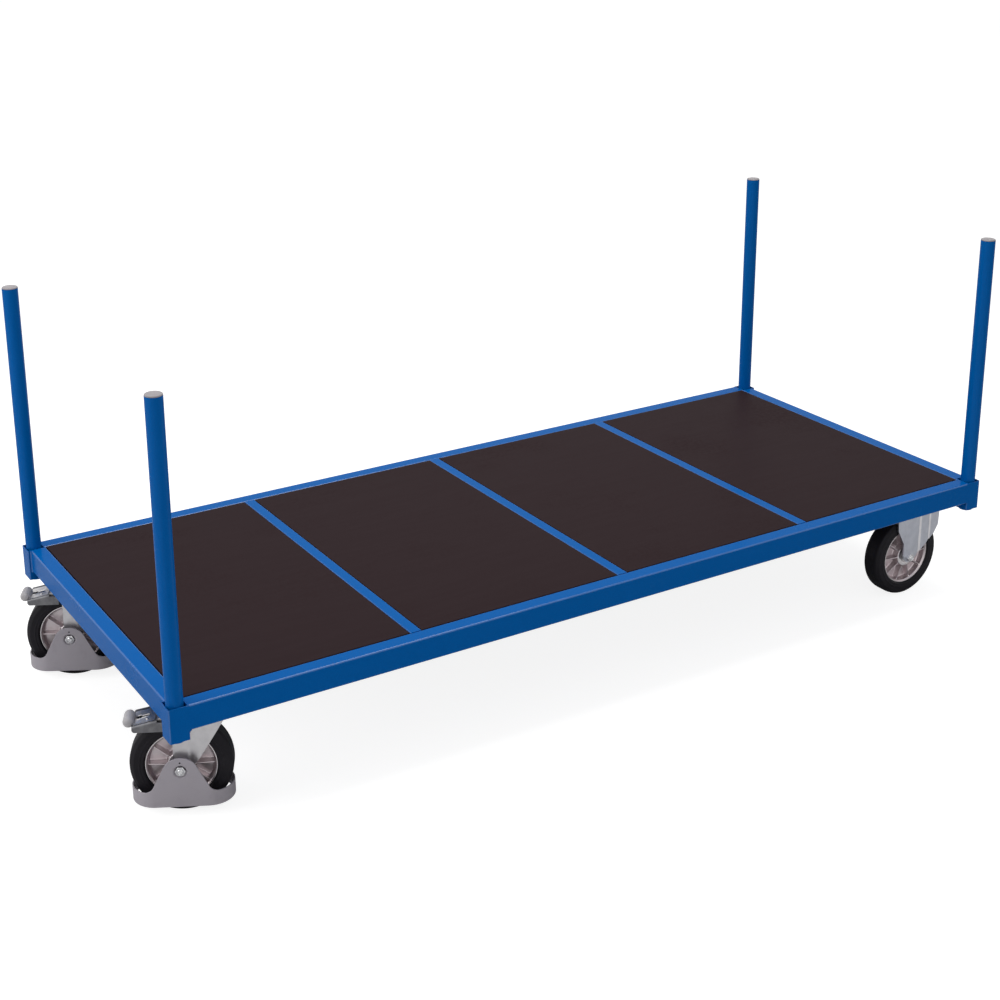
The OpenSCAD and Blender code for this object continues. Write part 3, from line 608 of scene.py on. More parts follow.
def make_socket(side, end):
    """A square tube with round edges, closed by a turned base that is welded in."""
    name = f"socket_{side}_{end}"
    low, high = node_box(name)
    middle = (low + high) / 2
    width = high.x - low.x
    bm = bmesh.new()
    bmesh.ops.create_grid(bm, x_segments=1, y_segments=1, size=width / 2)
    bevel(bm, bm.verts[:], SOCKET_EDGE_R, segments=6, affect="VERTICES")
    inner = bmesh.ops.inset_region(
        bm, faces=bm.faces[:], thickness=SOCKET_WALL, use_even_offset=True, use_boundary=True)
    ring = set(inner["faces"])
    bmesh.ops.delete(bm, geom=[face for face in bm.faces if face not in ring], context="FACES_ONLY")
    bmesh.ops.translate(bm, vec=(0, 0, high.z), verts=bm.verts)
    lower = verts_in(bmesh.ops.extrude_face_region(bm, geom=bm.faces[:]))
    tube_low = low.z + SOCKET_BASE_T
    bmesh.ops.translate(bm, vec=(0, 0, tube_low - high.z), verts=lower)
    bmesh.ops.recalc_face_normals(bm, faces=bm.faces)
    rims = [edge for edge in bm.edges if edge.calc_face_angle(0) > math.radians(60)]
    bevel(bm, rims, SOCKET_BREAK)
    outer_x = -1 if end == LEFT else 1
    outer_y = -1 if side == FRONT else 1
    make_socket_welds(bm, width / 2, outer_x, outer_y)
    lathe(bm, [
        (0, low.z), (SOCKET_BASE_R, low.z, 1.2), (SOCKET_BASE_R, tube_low - 0.2),
        (SOCKET_BASE_R - 0.6, tube_low + 0.5), (SOCKET_BASE_R - 1, tube_low + SOCKET_WALL),
        (0, tube_low + SOCKET_WALL)], closed=False)
    place = Matrix.Translation((middle.x, middle.y, 0))
    finish_piece(name + "_tube", bm, "root", PAINT, [name], place)


# Stakes

STAKE_WALL = 2.6
CAP_PLAY, CAP_BRIM = 0.1, 0.15


def make_stake(side, end):
    """A round tube with broken ends, and the plastic cap pressed into its top."""
    name = f"{side}_{end}"
    low, high = node_box("stake_" + name)
    middle = (low + high) / 2
    radius = (high.x - low.x) / 2
    place = Matrix.Translation((middle.x, middle.y, 0))
    bm = bmesh.new()
    lathe(bm, [
        (radius - STAKE_WALL, low.z, 0.3), (radius, low.z, 0.8),
        (radius, high.z, 0.5), (radius - STAKE_WALL, high.z, 0.3)], steps=TUBE_STEPS)
    finish_piece(
        f"stake_{name}_tube", bm, "stake_" + name, TUBE_PAINT, ["stake_" + name],
        place)
    cap_low, cap_high = node_box("cap_" + name)
    plug = radius - STAKE_WALL - CAP_PLAY
    top = cap_high.z
    bm = bmesh.new()
    lathe(bm, [
        (0, cap_low.z), (plug - 1.5, cap_low.z, 1), (plug, cap_low.z + 3), (plug, high.z),
        (radius - 0.7, high.z + CAP_BRIM, 0.3), (radius - CAP_BRIM, high.z + 0.9, 0.5),
        (radius - CAP_BRIM, top - 1.2, 2.2), (radius - 4.5, top - 0.5, 3),
        (radius - 6, top - 0.5, 2), (radius - 8, top, 3), (0, top)],
        closed=False, steps=TUBE_STEPS)
    finish_piece(
        f"cap_{name}_cap", bm, "stake_" + name, CAP, ["cap_" + name], place)


# Castors

class Castor:
    """Where a castor stands, and the names of its nodes and bodies."""

    def __init__(self, side, fixed):
        self.side = side
        self.fixed = fixed
        self.prefix = "fixed_" if fixed else ""
        spin = JOINTS[("fixed_wheel_spin_" if fixed else "wheel_spin_") + side]
        self.wheel_body = spin["child"]
        self.body = spin["parent"]
        foot = Vector(spin["pos_m"]) / MM
        self.axle_z = foot.z
        across = Vector(spin["axis"]).normalized()
        along = across.cross(Vector((0, 0, 1)))
        turn = Matrix((along, across, (0, 0, 1))).transposed().to_4x4()
        self.place = Matrix.Translation((foot.x, foot.y, 0)) @ turn
        self.plate_node = ("fixed_fork_" if fixed else "head_plate_") + side
        self.brake_body = None if fixed else JOINTS["brake_press_" + side]["child"]

    def node(self, what):
        """The name of this castor's node of a kind."""
        return f"{self.prefix}{what}_{self.side}"

    def dress(self, what, ending, bm, body, finish, slot, smooth=35):
        """Finishes a piece that was modelled from the wheel's foot."""
        name = self.node(what)
        finish_piece(
            f"{name}_{ending}", bm, body, finish, [name], self.place, smooth=smooth)


WHEEL_R = 100
TYRE_HALF = 25
RIM_SEAT_R = 69.5
RIM_HALF = 21
RIB_COUNT = 10
LIP_R = 67.2


def make_tyre(castor):
    """Solid rubber with round shoulders and a moulded ring on each side."""
    half_profile = [
        (RIM_SEAT_R, RIM_HALF - 0.5), (RIM_SEAT_R + 1.2, RIM_HALF + 1, 1),
        (RIM_SEAT_R + 3.5, TYRE_HALF - 0.6, 2), (78, TYRE_HALF - 0.5, 1), (79, TYRE_HALF, 0.8),
        (81, TYRE_HALF, 0.8), (82, TYRE_HALF - 0.5, 1), (91, TYRE_HALF - 0.8, 4),
        (WHEEL_R - 1.2, TYRE_HALF - 6.5, 5), (WHEEL_R, 12, 8), (WHEEL_R, 0.6)]
    profile = half_profile + [(r, -y, *more) for r, y, *more in reversed(half_profile)]
    bm = bmesh.new()
    lathe(bm, profile, (0, 1, 0), (0, 0, WHEEL_R))
    castor.dress("tyre", "rubber", bm, castor.wheel_body, TYRE, "tyre_rubber")


def rim_stations():
    """Stations from the bore to the seat: (radius, height of the casting without its ribs)."""
    return [
        (13, 11.2), (16.06, 11.2), (16.06, 19.9), (16.8, 20.6), (24.6, 20.6), (26, 20.3),
        (26.9, 19.3), (28.3, 6.0), (29.0, 4.2), (30.4, 3.2), (33, 3), (40, 3), (48, 3),
        (56, 3), (60.4, 3.2), (62.2, 4.2), (63.2, 6.2), (64.4, 16.6), (65, 17.8),
        (66.6, 19.6), (67.2, 20.7), (67.6, 21), (68.8, 21), (69.45, 20.4)]


# Tangential places from a rib's middle, and the share of its height that it has there
RIB_FLANK = [
    (0, 1), (0.9, 1), (1.35, 0.97), (1.7, 0.86), (2.3, 0.2), (2.75, 0.06), (3.5, 0), (4.7, 0)]
RIB_INNER_TOP = 19.3
RIB_OUTER_TOP = 15.5
RIB_FROM_R, RIB_TO_R = 26.9, 64.4
OPEN_STEPS = 5
HUB_FACE_R = (16.5, 25.5)


def rim_height(station, flank):
    """Height of the casting at a radius, beside or on a rib."""
    radius, base = station
    share = (radius - RIB_FROM_R) / (RIB_TO_R - RIB_FROM_R)
    top = RIB_INNER_TOP + (RIB_OUTER_TOP - RIB_INNER_TOP) * min(max(share, 0), 1)
    return base + max(top - base, 0) * flank


def make_rim(castor):
    """A cast rim: one sector is shaped as a relief, turned into a full face and mirrored."""
    stations = rim_stations()
    flanks = [(reach, 0.0, share) for reach, share in RIB_FLANK]
    flanks += [(RIB_FLANK[-1][0], i / OPEN_STEPS, 0) for i in range(1, OPEN_STEPS + 1)]
    bm = bmesh.new()
    grid = bmesh.ops.create_grid(
        bm, x_segments=len(stations) - 1, y_segments=len(flanks) - 1, size=1)["verts"]
    half_sector = math.pi / RIB_COUNT
    for vert in grid:
        column = round((vert.co.x + 1) / 2 * (len(stations) - 1))
        row = round((vert.co.y + 1) / 2 * (len(flanks) - 1))
        radius = stations[column][0]
        reach, spread, share = flanks[row]
        angle = reach / radius
        angle += (half_sector - angle) * spread
        height = rim_height(stations[column], share)
        vert.co = (radius * math.cos(angle), radius * math.sin(angle), height)
    bmesh.ops.mirror(
        bm, geom=bm.verts[:] + bm.edges[:] + bm.faces[:], axis="Y", merge_dist=MERGE)
    bmesh.ops.spin(
        bm, geom=bm.verts[:] + bm.edges[:] + bm.faces[:], cent=(0, 0, 0), axis=(0, 0, 1),
        dvec=(0, 0, 0), angle=math.tau * (RIB_COUNT - 1) / RIB_COUNT, steps=RIB_COUNT - 1,
        use_duplicate=True)
    bmesh.ops.remove_doubles(bm, verts=bm.verts, dist=MERGE)
    bmesh.ops.mirror(
        bm, geom=bm.verts[:] + bm.edges[:] + bm.faces[:], axis="Z", merge_dist=-1)
    for inner in (True, False):
        loops = [
            edge for edge in bm.edges
            if edge.is_boundary and (edge.verts[0].co.xy.length < RIM_SEAT_R / 2) == inner]
        bmesh.ops.bridge_loops(bm, edges=loops)
    bmesh.ops.recalc_face_normals(bm, faces=bm.faces)
    for face in bm.faces:
        reach = face.calc_center_median().xy.length
        if abs(face.normal.z) > 0.9 and (
                reach > LIP_R or HUB_FACE_R[0] < reach < HUB_FACE_R[1]):
            face.material_index = SECOND
    bmesh.ops.transform(
        bm, matrix=Matrix.Translation((0, 0, WHEEL_R)) @ axis_matrix((0, 1, 0)), verts=bm.verts)
    castor.dress(
        "rim", "casting", bm, castor.wheel_body, [CAST, TURNED], "cast_aluminium", smooth=50)


RACE_EDGE = 0.3


def make_bearings(castor):
    """The wheel's two ball bearings with broken edges."""
    dress_copy(
        castor.node("bearings"), "races", castor.wheel_body, BRIGHT, RACE_EDGE)


HEXAGON = 6
FLAT_PARTS = 6
HEX_CHAMFER = 0.9
BORE_SINK = 1.4


def hexagon(bm, across_flats, thickness, place, bore=0):
    """A hexagon with its corners turned off on its free face, up along z, and a sunk bore."""
    flat = across_flats / 2
    corner = flat / math.cos(math.pi / 6)
    ring = []
    for i in range(HEXAGON * FLAT_PARTS):
        angle = math.tau * i / (HEXAGON * FLAT_PARTS)
        within = angle % (math.tau / HEXAGON) - math.pi / HEXAGON
        ring.append((angle, flat / math.cos(within)))
    others = set(bm.verts)
    base = bm.faces.new([bm.verts.new((r * math.cos(a), r * math.sin(a), 0)) for a, r in ring])
    made = bmesh.ops.extrude_face_region(bm, geom=[base])
    for vert in verts_in(made):
        past = (vert.co.xy.length - flat * 0.96) / (corner - flat * 0.96)
        vert.co.z = thickness - HEX_CHAMFER * past
    cap = next(item for item in made["geom"] if isinstance(item, bmesh.types.BMFace))
    bmesh.ops.inset_region(bm, faces=[cap], thickness=0.6)
    for vert in cap.verts:
        vert.co.xy = vert.co.xy.normalized() * flat * 0.94
        vert.co.z = thickness
    for radius, sink in ((bore + 1.1, 0), (bore - 0.2, BORE_SINK)) if bore else ():
        bmesh.ops.inset_region(bm, faces=[cap], thickness=0.3)
        for vert in cap.verts:
            vert.co.xy = vert.co.xy.normalized() * radius
            vert.co.z = thickness - sink
    verts = [vert for vert in bm.verts if vert not in others]
    bmesh.ops.recalc_face_normals(bm, faces=linked(verts, "link_faces"))
    bmesh.ops.transform(bm, matrix=place, verts=verts)


THREAD_DEPTH, CREST_PLAY = 0.55, 0.05


def threaded_end(radius, start, end, pitch=1.75):
    """Profile of a bolt's end: its thread's ridges, and a small chamfer."""
    points = []
    height = start
    while height + pitch < end - 1:
        points += [(radius - THREAD_DEPTH, height), (radius - CREST_PLAY, height + pitch / 2)]
        height += pitch
    return points + [(radius - 0.5, height), (radius - 0.5, end - 0.9), (radius - 1.4, end)]


AXLE_R = 6
AXLE_AF = 18
NUT_T = 8
SPACER_WALL = 3
BOLT_PAST, BOLT_SUNK, AXLE_PITCH = 1.5, 0.5, 1.5
RIM_PLAY, HUB_SPACER_HALF = 0.2, 10.8
SHANK_PLAY, SPACER_PLAY = 0.02, 0.06


def make_axle(castor, seat, gap):
    """The axle bolt with its nut and spacer tubes."""
    bm = bmesh.new()
    level = Matrix.Translation((0, 0, castor.axle_z))
    head = level @ Matrix.Translation((0, seat, 0)) @ axis_matrix((0, 1, 0))
    nut = level @ Matrix.Translation((0, -seat, 0)) @ axis_matrix((0, -1, 0))
    hexagon(bm, AXLE_AF, NUT_T, head)
    hexagon(bm, AXLE_AF, NUT_T, nut, bore=AXLE_R)
    head_end = -seat - NUT_T + BOLT_SUNK
    nut_end = seat + NUT_T + BOLT_PAST
    shank_r = AXLE_R - SHANK_PLAY
    shank = [(0, head_end), (shank_r, head_end), (shank_r, seat)]
    shank += threaded_end(AXLE_R, seat, nut_end, AXLE_PITCH) + [(0, nut_end)]
    lathe(bm, shank, (0, -1, 0), (0, 0, castor.axle_z), closed=False, steps=AXLE_STEPS)
    beside_rim = RIM_HALF + RIM_PLAY
    bore_r, outer_r = AXLE_R + SPACER_PLAY, AXLE_R + SPACER_WALL
    for low, high in (
            (beside_rim, gap / 2), (-gap / 2, -beside_rim), (-HUB_SPACER_HALF, HUB_SPACER_HALF)):
        lathe(
            bm, [(bore_r, low), (outer_r, low), (outer_r, high), (bore_r, high)], (0, 1, 0),
            (0, 0, castor.axle_z), steps=AXLE_STEPS)
    castor.dress("axle", "bolt", bm, castor.body, BOLT, "zinc_bolt")


SWIVEL_SEAT, SWIVEL_GAP = 40, 60
FIXED_SEAT, FIXED_GAP = 32, 56
SHEET = 4
TOP_PLATE_T = 6
TOP_PLATE_CORNER, TOP_PLATE_EDGE = 7, 0.8
SEAT_T = 6
MOUNT_DX, MOUNT_DY = 105, 84
MOUNT_R, MOUNT_AF, MOUNT_HEAD_T, MOUNT_NUT_T, MOUNT_END = 5, 16, 6.4, 8.4, 3


def plate_middle(node):
    """Middle of a castor's top plate and the height of its upper face."""
    low, high = node_box(node)
    return (low.x + high.x) / 2, (low.y + high.y) / 2, high.z


def make_mounting_bolts(castors):
    """Sixteen hexagon bolts down through the seats and the top plates, with nuts below."""
    bm = bmesh.new()
    nut_low = SEAT_T + TOP_PLATE_T + MOUNT_NUT_T
    shank = [(0, -1), (MOUNT_R, -1), (MOUNT_R, nut_low)]
    shank += threaded_end(MOUNT_R, nut_low, nut_low + MOUNT_END) + [(0, nut_low + MOUNT_END)]
    for castor in castors:
        x, y, top = plate_middle(castor.plate_node)
        for dx in (-MOUNT_DX / 2, MOUNT_DX / 2):
            for dy in (-MOUNT_DY / 2, MOUNT_DY / 2):
                seat = Matrix.Translation((x + dx, y + dy, top + SEAT_T))
                below = Matrix.Translation((x + dx, y + dy, top - TOP_PLATE_T))
                hexagon(bm, MOUNT_AF, MOUNT_HEAD_T, seat)
                hexagon(
                    bm, MOUNT_AF, MOUNT_NUT_T, below @ axis_matrix((0, 0, -1)), bore=MOUNT_R)
                lathe(bm, shank, (0, 0, -1), seat.translation, closed=False, steps=SMALL_STEPS)
    finish_piece("castor_bolts_set", bm, "root", BOLT, ["castor_bolts"])


def slab_outline(x, y, length, width, corner):
    """The corners of a level rectangle about its middle, and their round."""
    return [
        (x + sx * length / 2, y + sy * width / 2, corner)
        for sx, sy in ((-1, -1), (1, -1), (1, 1), (-1, 1))]


RACE_R, RACE_IN_R, RACE_LOW, SKIRT_LOW = 45, 25, 232.2, 226.2


def make_head_plate(castor):
    """Top plate with the pressed race ring and its dust skirt below."""
    name = castor.plate_node
    low, high = node_box(name)
    x, y, top = plate_middle(name)
    bm = bmesh.new()
    plate(
        bm, slab_outline(x, y, high.x - low.x, high.y - low.y, TOP_PLATE_CORNER),
        top - TOP_PLATE_T, top, edge=TOP_PLATE_EDGE, level=True)
    lathe(bm, [
        (RACE_IN_R, top - TOP_PLATE_T - 0.1), (RACE_IN_R, RACE_LOW, 1), (RACE_R - 3, RACE_LOW, 0.6),
        (RACE_R - 3, SKIRT_LOW, 0.4), (RACE_R, SKIRT_LOW, 0.8), (RACE_R, top - TOP_PLATE_T - 4, 3),
        (RACE_R - 2, top - TOP_PLATE_T - 0.1)], centre=(x, y, 0))
    finish_piece(name + "_race", bm, "root", ZINC, [name])


# The swivel fork, from the wheel's foot: its outline below the crown, and its creases
FORK_HALF = 34
CROWN_TOP, CROWN_LOW, CROWN_R = 224, 218, 46
SHOULDER_R = 8
LEG_BACK, LEG_FRONT = -13, 97
LEG_FRONT_EDGE = [(97, 218), (82, 193), (56, 150), (36, 118), (13, 89)]
FORK_CREASES = [(14, 0), (17, 0.4), (19, 3), (23, 3), (31, 1.2), (38, 0)]
CREASE_FADE = (CROWN_LOW - 26, CROWN_LOW - 4)
TRAIL = 49.5
PIVOT_Z = 207.5
APRON = [(97, 218), (94, 218), (76.5, 189), (79, 188)]
LEG_EDGE = 0.7
LIT_FLANK_TILT = -0.12


def paint_crease_highlight(bm):
    """Paints a highlight as lighter zinc on the crease flanks ahead of the axle that face towards
    -x.
    """
    bm.normal_update()
    for face in bm.faces:
        ahead = face.calc_center_median().x > 0
        if ahead and abs(face.normal.y) > 0.8 and face.normal.x < LIT_FLANK_TILT:
            face.material_index = SECOND


def make_fork(castor):
    """Pressed from one sheet: two creased legs, a crown with round shoulders and an apron."""
    bm = bmesh.new()
    section = filleted([
        (-FORK_HALF, 0), (-FORK_HALF, CROWN_TOP, SHOULDER_R), (FORK_HALF, CROWN_TOP, SHOULDER_R),
        (FORK_HALF, 0)], closed=False)
    verts = [bm.verts.new((LEG_BACK, y, z)) for y, z in section]
    edges = [bm.edges.new(pair) for pair in zip(verts, verts[1:])]
    far = verts_in(bmesh.ops.extrude_edge_only(bm, edges=edges))
    bmesh.ops.translate(bm, vec=(LEG_FRONT - LEG_BACK, 0, 0), verts=far)
    verts = bm.verts[:]
    for (x, z), (next_x, next_z) in zip(LEG_FRONT_EDGE, LEG_FRONT_EDGE[1:]):
        verts = cut(bm, verts, (x, 0, z), (z - next_z, 0, next_x - x), clear=True)
    for degrees in range(-48, -180, -12):
        out = turned_out(degrees)
        verts = cut(bm, verts, Vector((0, 0, WHEEL_R)) - out * LEG_BACK, out, clear=True)
    press_creases(bm, verts, FORK_CREASES, CREASE_FADE)
    bmesh.ops.recalc_face_normals(bm, faces=bm.faces)
    if next(face for face in bm.faces if face.calc_center_median().z > CROWN_LOW).normal.z < 0:
        bmesh.ops.reverse_faces(bm, faces=bm.faces)
    bmesh.ops.solidify(bm, geom=bm.faces[:], thickness=SHEET)
    bevel_sharp(bm, LEG_EDGE, angle=60)
    plate(bm, [(x, z, 1) for x, z in APRON], -FORK_HALF + SHEET, FORK_HALF - SHEET)
    lathe(bm, [
        (0, CROWN_LOW), (CROWN_R, CROWN_LOW, 1.5), (CROWN_R, CROWN_TOP, 2), (RACE_R - 9, CROWN_TOP),
        (RACE_R - 12, CROWN_TOP - 1.5, 2), (RACE_R - 15, CROWN_TOP), (0, CROWN_TOP)],
        centre=(TRAIL, 0, 0), closed=False)
    for side in (-1, 1):
        lathe(bm, [
            (0, FORK_HALF - 1), (5.5, FORK_HALF - 1), (5.5, FORK_HALF + 0.6, 0.6),
            (3, FORK_HALF + 1.6, 2), (0, FORK_HALF + 1.8)],
            (0, side, 0), (0, 0, PIVOT_Z), closed=False, steps=PIN_STEPS)
    # Crease flanks that face -x get the painted highlight
    paint_crease_highlight(bm)
    castor.dress("fork", "sheet", bm, castor.body, [ZINC, PAINTED_CREASE_HIGHLIGHT], "zinc_plate")


FIXED_LEG = [
    (-45, 240), (95, 240), (91.5, 166, 18), (78, 145, 10), (26, 102, 12), (6.5, 87, 8),
    (-6.5, 87, 8), (-19, 100, 10), (-21, 139, 10), (-41, 176, 8)]
FIXED_CREASES = [
    (-21, 0), (-18, 1.6), (-13, 1.2), (-9, 0), (24, 0), (30, 2.2), (35, 0), (57, 0), (62, 1.8),
    (66, 0)]
FIXED_OFFSET = 25
FIXED_EDGE = 0.9
SPOT_XS, SPOT_RISE = (-8, 6), 20


def make_fixed_fork(castor):
    """A top plate with two creased legs welded under it, and two small weld spots on each leg."""
    low, high = node_box(castor.node("fork"))
    outer = FIXED_GAP / 2 + SHEET
    bm = bmesh.new()
    outline = slab_outline(
        FIXED_OFFSET, 0, high.x - low.x, high.y - low.y, TOP_PLATE_CORNER)
    plate(bm, outline, high.z - TOP_PLATE_T, high.z, edge=TOP_PLATE_EDGE, level=True)
    for side in (-1, 1):
        near, far = sorted((side * outer, side * FIXED_GAP / 2))
        plate(bm, FIXED_LEG, near, far, edge=FIXED_EDGE, creases=FIXED_CREASES)
        for x in SPOT_XS:
            lathe(bm, [(0, outer - 0.3), (2.2, outer - 0.3), (1.8, outer + 0.3), (0, outer + 0.4)],
                  (0, side, 0), (x, 0, WHEEL_R + SPOT_RISE), closed=False, steps=SPOT_STEPS)
    # Crease flanks that face -x get the painted highlight
    paint_crease_highlight(bm)
    castor.dress("fork", "sheet", bm, "root", [BLUE_ZINC, PAINTED_CREASE_HIGHLIGHT], "zinc_plate")


GUARD_HALF = 48
POCKET_R = 12.5
PIP_RISE = 19
BELL_FOOT, BELL_WAIST = 58, 84
BELL_GAIN, BELL_FULL, BELL_REACH = 4, 25, 75
GUARD_EDGE = 0.9
POCKET_ROUND, POCKET_BRIM = 2.4, 3


def make_guard(castor):
    """The moulded guard: wider flanks, soft edges and a dished hollow round the axle nut."""
    bm = copy_of(castor.node("foot_guard"))
    bmesh.ops.transform(bm, matrix=castor.place.inverted(), verts=bm.verts)
    axle = Vector((0, 0, WHEEL_R))
    for vert in bm.verts:
        x, _, z = vert.co
        if math.hypot(x, z - WHEEL_R) > POCKET_R + POCKET_BRIM and abs(x) < BELL_REACH:
            share = min(max((z - BELL_FOOT) / (BELL_WAIST - BELL_FOOT), 0), 1)
            vert.co.x += math.copysign(BELL_GAIN * share * min(abs(x) / BELL_FULL, 1), x)

    def on_pocket_rim(vert):
        out = Vector((vert.co.x, 0, vert.co.z)) - axle
        return abs(out.length - POCKET_R) < 0.2 and abs(abs(vert.co.y) - GUARD_HALF) < 0.1

    rims = [edge for edge in bm.edges if all(on_pocket_rim(vert) for vert in edge.verts)]
    bevel(bm, rims, POCKET_ROUND, segments=5)
    bevel_sharp(bm, GUARD_EDGE, segments=3, angle=50)
    for side in (-1, 1):
        lathe(bm, [
            (POCKET_R - 1.9, GUARD_HALF - 7), (POCKET_R - 1.9, GUARD_HALF - 3.6, 0.5),
            (POCKET_R - 1.2, GUARD_HALF - 3.6, 1), (POCKET_R + 0.3, GUARD_HALF - 1.7),
            (POCKET_R + 0.3, GUARD_HALF - 7)], (0, side, 0), (0, 0, WHEEL_R), steps=TUBE_STEPS)
        # A flat pip above the nut with a black face: painted shade standing in for a small dimple
        pip = lathe(bm, [
            (0, GUARD_HALF - 0.5), (1.9, GUARD_HALF - 0.5), (1.9, GUARD_HALF, 0.2),
            (1.5, GUARD_HALF + 0.1, 0.1), (1.2, GUARD_HALF + 0.02), (0, GUARD_HALF + 0.02)],
            (0, side, 0), (0, 0, WHEEL_R + PIP_RISE), closed=False, steps=SMALL_STEPS)
        for face in linked(pip, "link_faces"):
            face.material_index = SECOND
    castor.dress(
        "foot_guard", "moulding", bm, castor.body, [GUARD, SHOE_RUBBER_AND_SHADE], "guard_plastic", smooth=40)


# The brake lever, from the wheel's foot: its tread, the keyhole in it, its arms and web
TREAD_TIP, TREAD_ROOT = (-88, 192.2), (-39.8, 203.6)
TREAD_HALF, TREAD_BEND_R, TREAD_LOW, TREAD_END = 35, 4.5, 179.8, -19.5
TREAD_CORNER_R = 6
LEVER_SHEET, LEVER_EDGE = 2, 0.35
KEY_X, KEY_R, KEY_SLOT_END, KEY_SLOT_HALF = -76, 7, -56, 3.5
KEY_STEPS = 14
KEY_LIP, KEY_LIP_RISE = 2.5, 1.0
BORDER, TIP_BORDER, DISH = 5, 1.2, 1.2
PAN_TOP, PAN_LOW, PAN_HALF = 3.8, 5.2, 14
PAN_X = (-86, -53)
RIVET_X, RIVET_Y = -60, -13
ARM_OUTER, PIVOT_R = 28, 4
ARM = [(8, 213), (-8, 213), (-39.8, 202.6), (-52, 199.8), (-52, 190.5), (8, 201)]
WEB_R, WEB_FROM, WEB_TO = 109, 4, 21


def keyhole(bm, grow):
    """The edges of the keyhole's outline, or of one some way round it."""
    radius, half = KEY_R + grow, KEY_SLOT_HALF + grow
    start = math.asin(half / radius)
    points = []
    for step in range(KEY_STEPS + 1):
        angle = start + (math.tau - 2 * start) * step / KEY_STEPS
        points.append((KEY_X + radius * math.cos(angle), radius * math.sin(angle)))
    end = KEY_SLOT_END + grow
    points += [tuple(point) for point in filleted([
        (end - half - 1, -half), (end, -half, half * 0.9), (end, half, half * 0.9),
        (end - half - 1, half)], closed=False)]
    verts = [bm.verts.new((x, y, -DISH)) for x, y in points]
    return [bm.edges.new(pair) for pair in zip(verts, verts[1:] + verts[:1])]


def tread_height(x):
    """Height of the sloping tread at x."""
    (tip_x, tip_z), (root_x, root_z) = TREAD_TIP, TREAD_ROOT
    return tip_z + (root_z - tip_z) / (root_x - tip_x) * (x - tip_x)


def make_tread(bm):
    """The tread: a sloping dished plate with a lipped keyhole, its sides bent down."""
    inner = TREAD_HALF - TREAD_BEND_R
    tip_x, root_x = TREAD_TIP[0], TREAD_ROOT[0]
    low = set()

    def oblong(back, tip_back, z):
        corners = [bm.verts.new((x, y, z)) for x, y in (
            (tip_x + tip_back, back - inner), (root_x - back, back - inner),
            (root_x - back, inner - back), (tip_x + tip_back, inner - back))]
        return [bm.edges.new(pair) for pair in zip(corners, corners[1:] + corners[:1])]

    outer, border = oblong(0, 0, 0), oblong(BORDER, TIP_BORDER, -DISH)
    lip, key = keyhole(bm, KEY_LIP), keyhole(bm, 0)
    raised = {vert for edge in key for vert in edge.verts}
    bmesh.ops.bridge_loops(bm, edges=lip + key)
    # The sunk border ring gets the dark zinc of painted shade
    for face in bmesh.ops.bridge_loops(bm, edges=outer + border)["faces"]:
        face.material_index = SECOND
    bmesh.ops.triangle_fill(bm, use_beauty=True, edges=border + lip)
    for side in (-1, 1):
        edges = [
            edge for edge in bm.edges
            if all(abs(vert.co.y - side * inner) < CLOSE for vert in edge.verts)]
        for step in range(1, ARC_STEPS + 2):
            fresh = verts_in(bmesh.ops.extrude_edge_only(bm, edges=edges))
            turn = math.pi / 2 * min(step / ARC_STEPS, 1)
            for vert in fresh:
                vert.co.y = side * (inner + TREAD_BEND_R * math.sin(turn))
                vert.co.z = -TREAD_BEND_R * (1 - math.cos(turn))
            edges = linked(fresh, "link_edges")
            for face in linked(fresh, "link_faces"):
                # The bends get the painted fold highlight, the walls below them the plain plate
                face.material_index = THIRD if step <= ARC_STEPS else 0
        low.update(fresh)
    for vert in bm.verts:
        if vert in low:
            vert.co.z = TREAD_LOW
        else:
            vert.co.z += tread_height(vert.co.x) + (KEY_LIP_RISE if vert in raised else 0)
        if abs(vert.co.y) > TREAD_HALF - 0.1 and vert.co.x > root_x - 0.1:
            vert.co.x = TREAD_END
    verts = bm.verts[:]
    corner = Vector((tip_x + TREAD_CORNER_R, 0, TREAD_LOW + TREAD_CORNER_R))
    for degrees in range(195, 270, 15):
        out = turned_out(degrees)
        verts = cut(bm, verts, corner + out * TREAD_CORNER_R, out, clear=True)
    bmesh.ops.recalc_face_normals(bm, faces=bm.faces)
    top = max(bm.faces, key=lambda face: face.calc_area() if abs(face.normal.z) > 0.9 else 0)
    if top.normal.z < 0:
        bmesh.ops.reverse_faces(bm, faces=bm.faces)
    bmesh.ops.solidify(bm, geom=bm.faces[:], thickness=LEVER_SHEET)


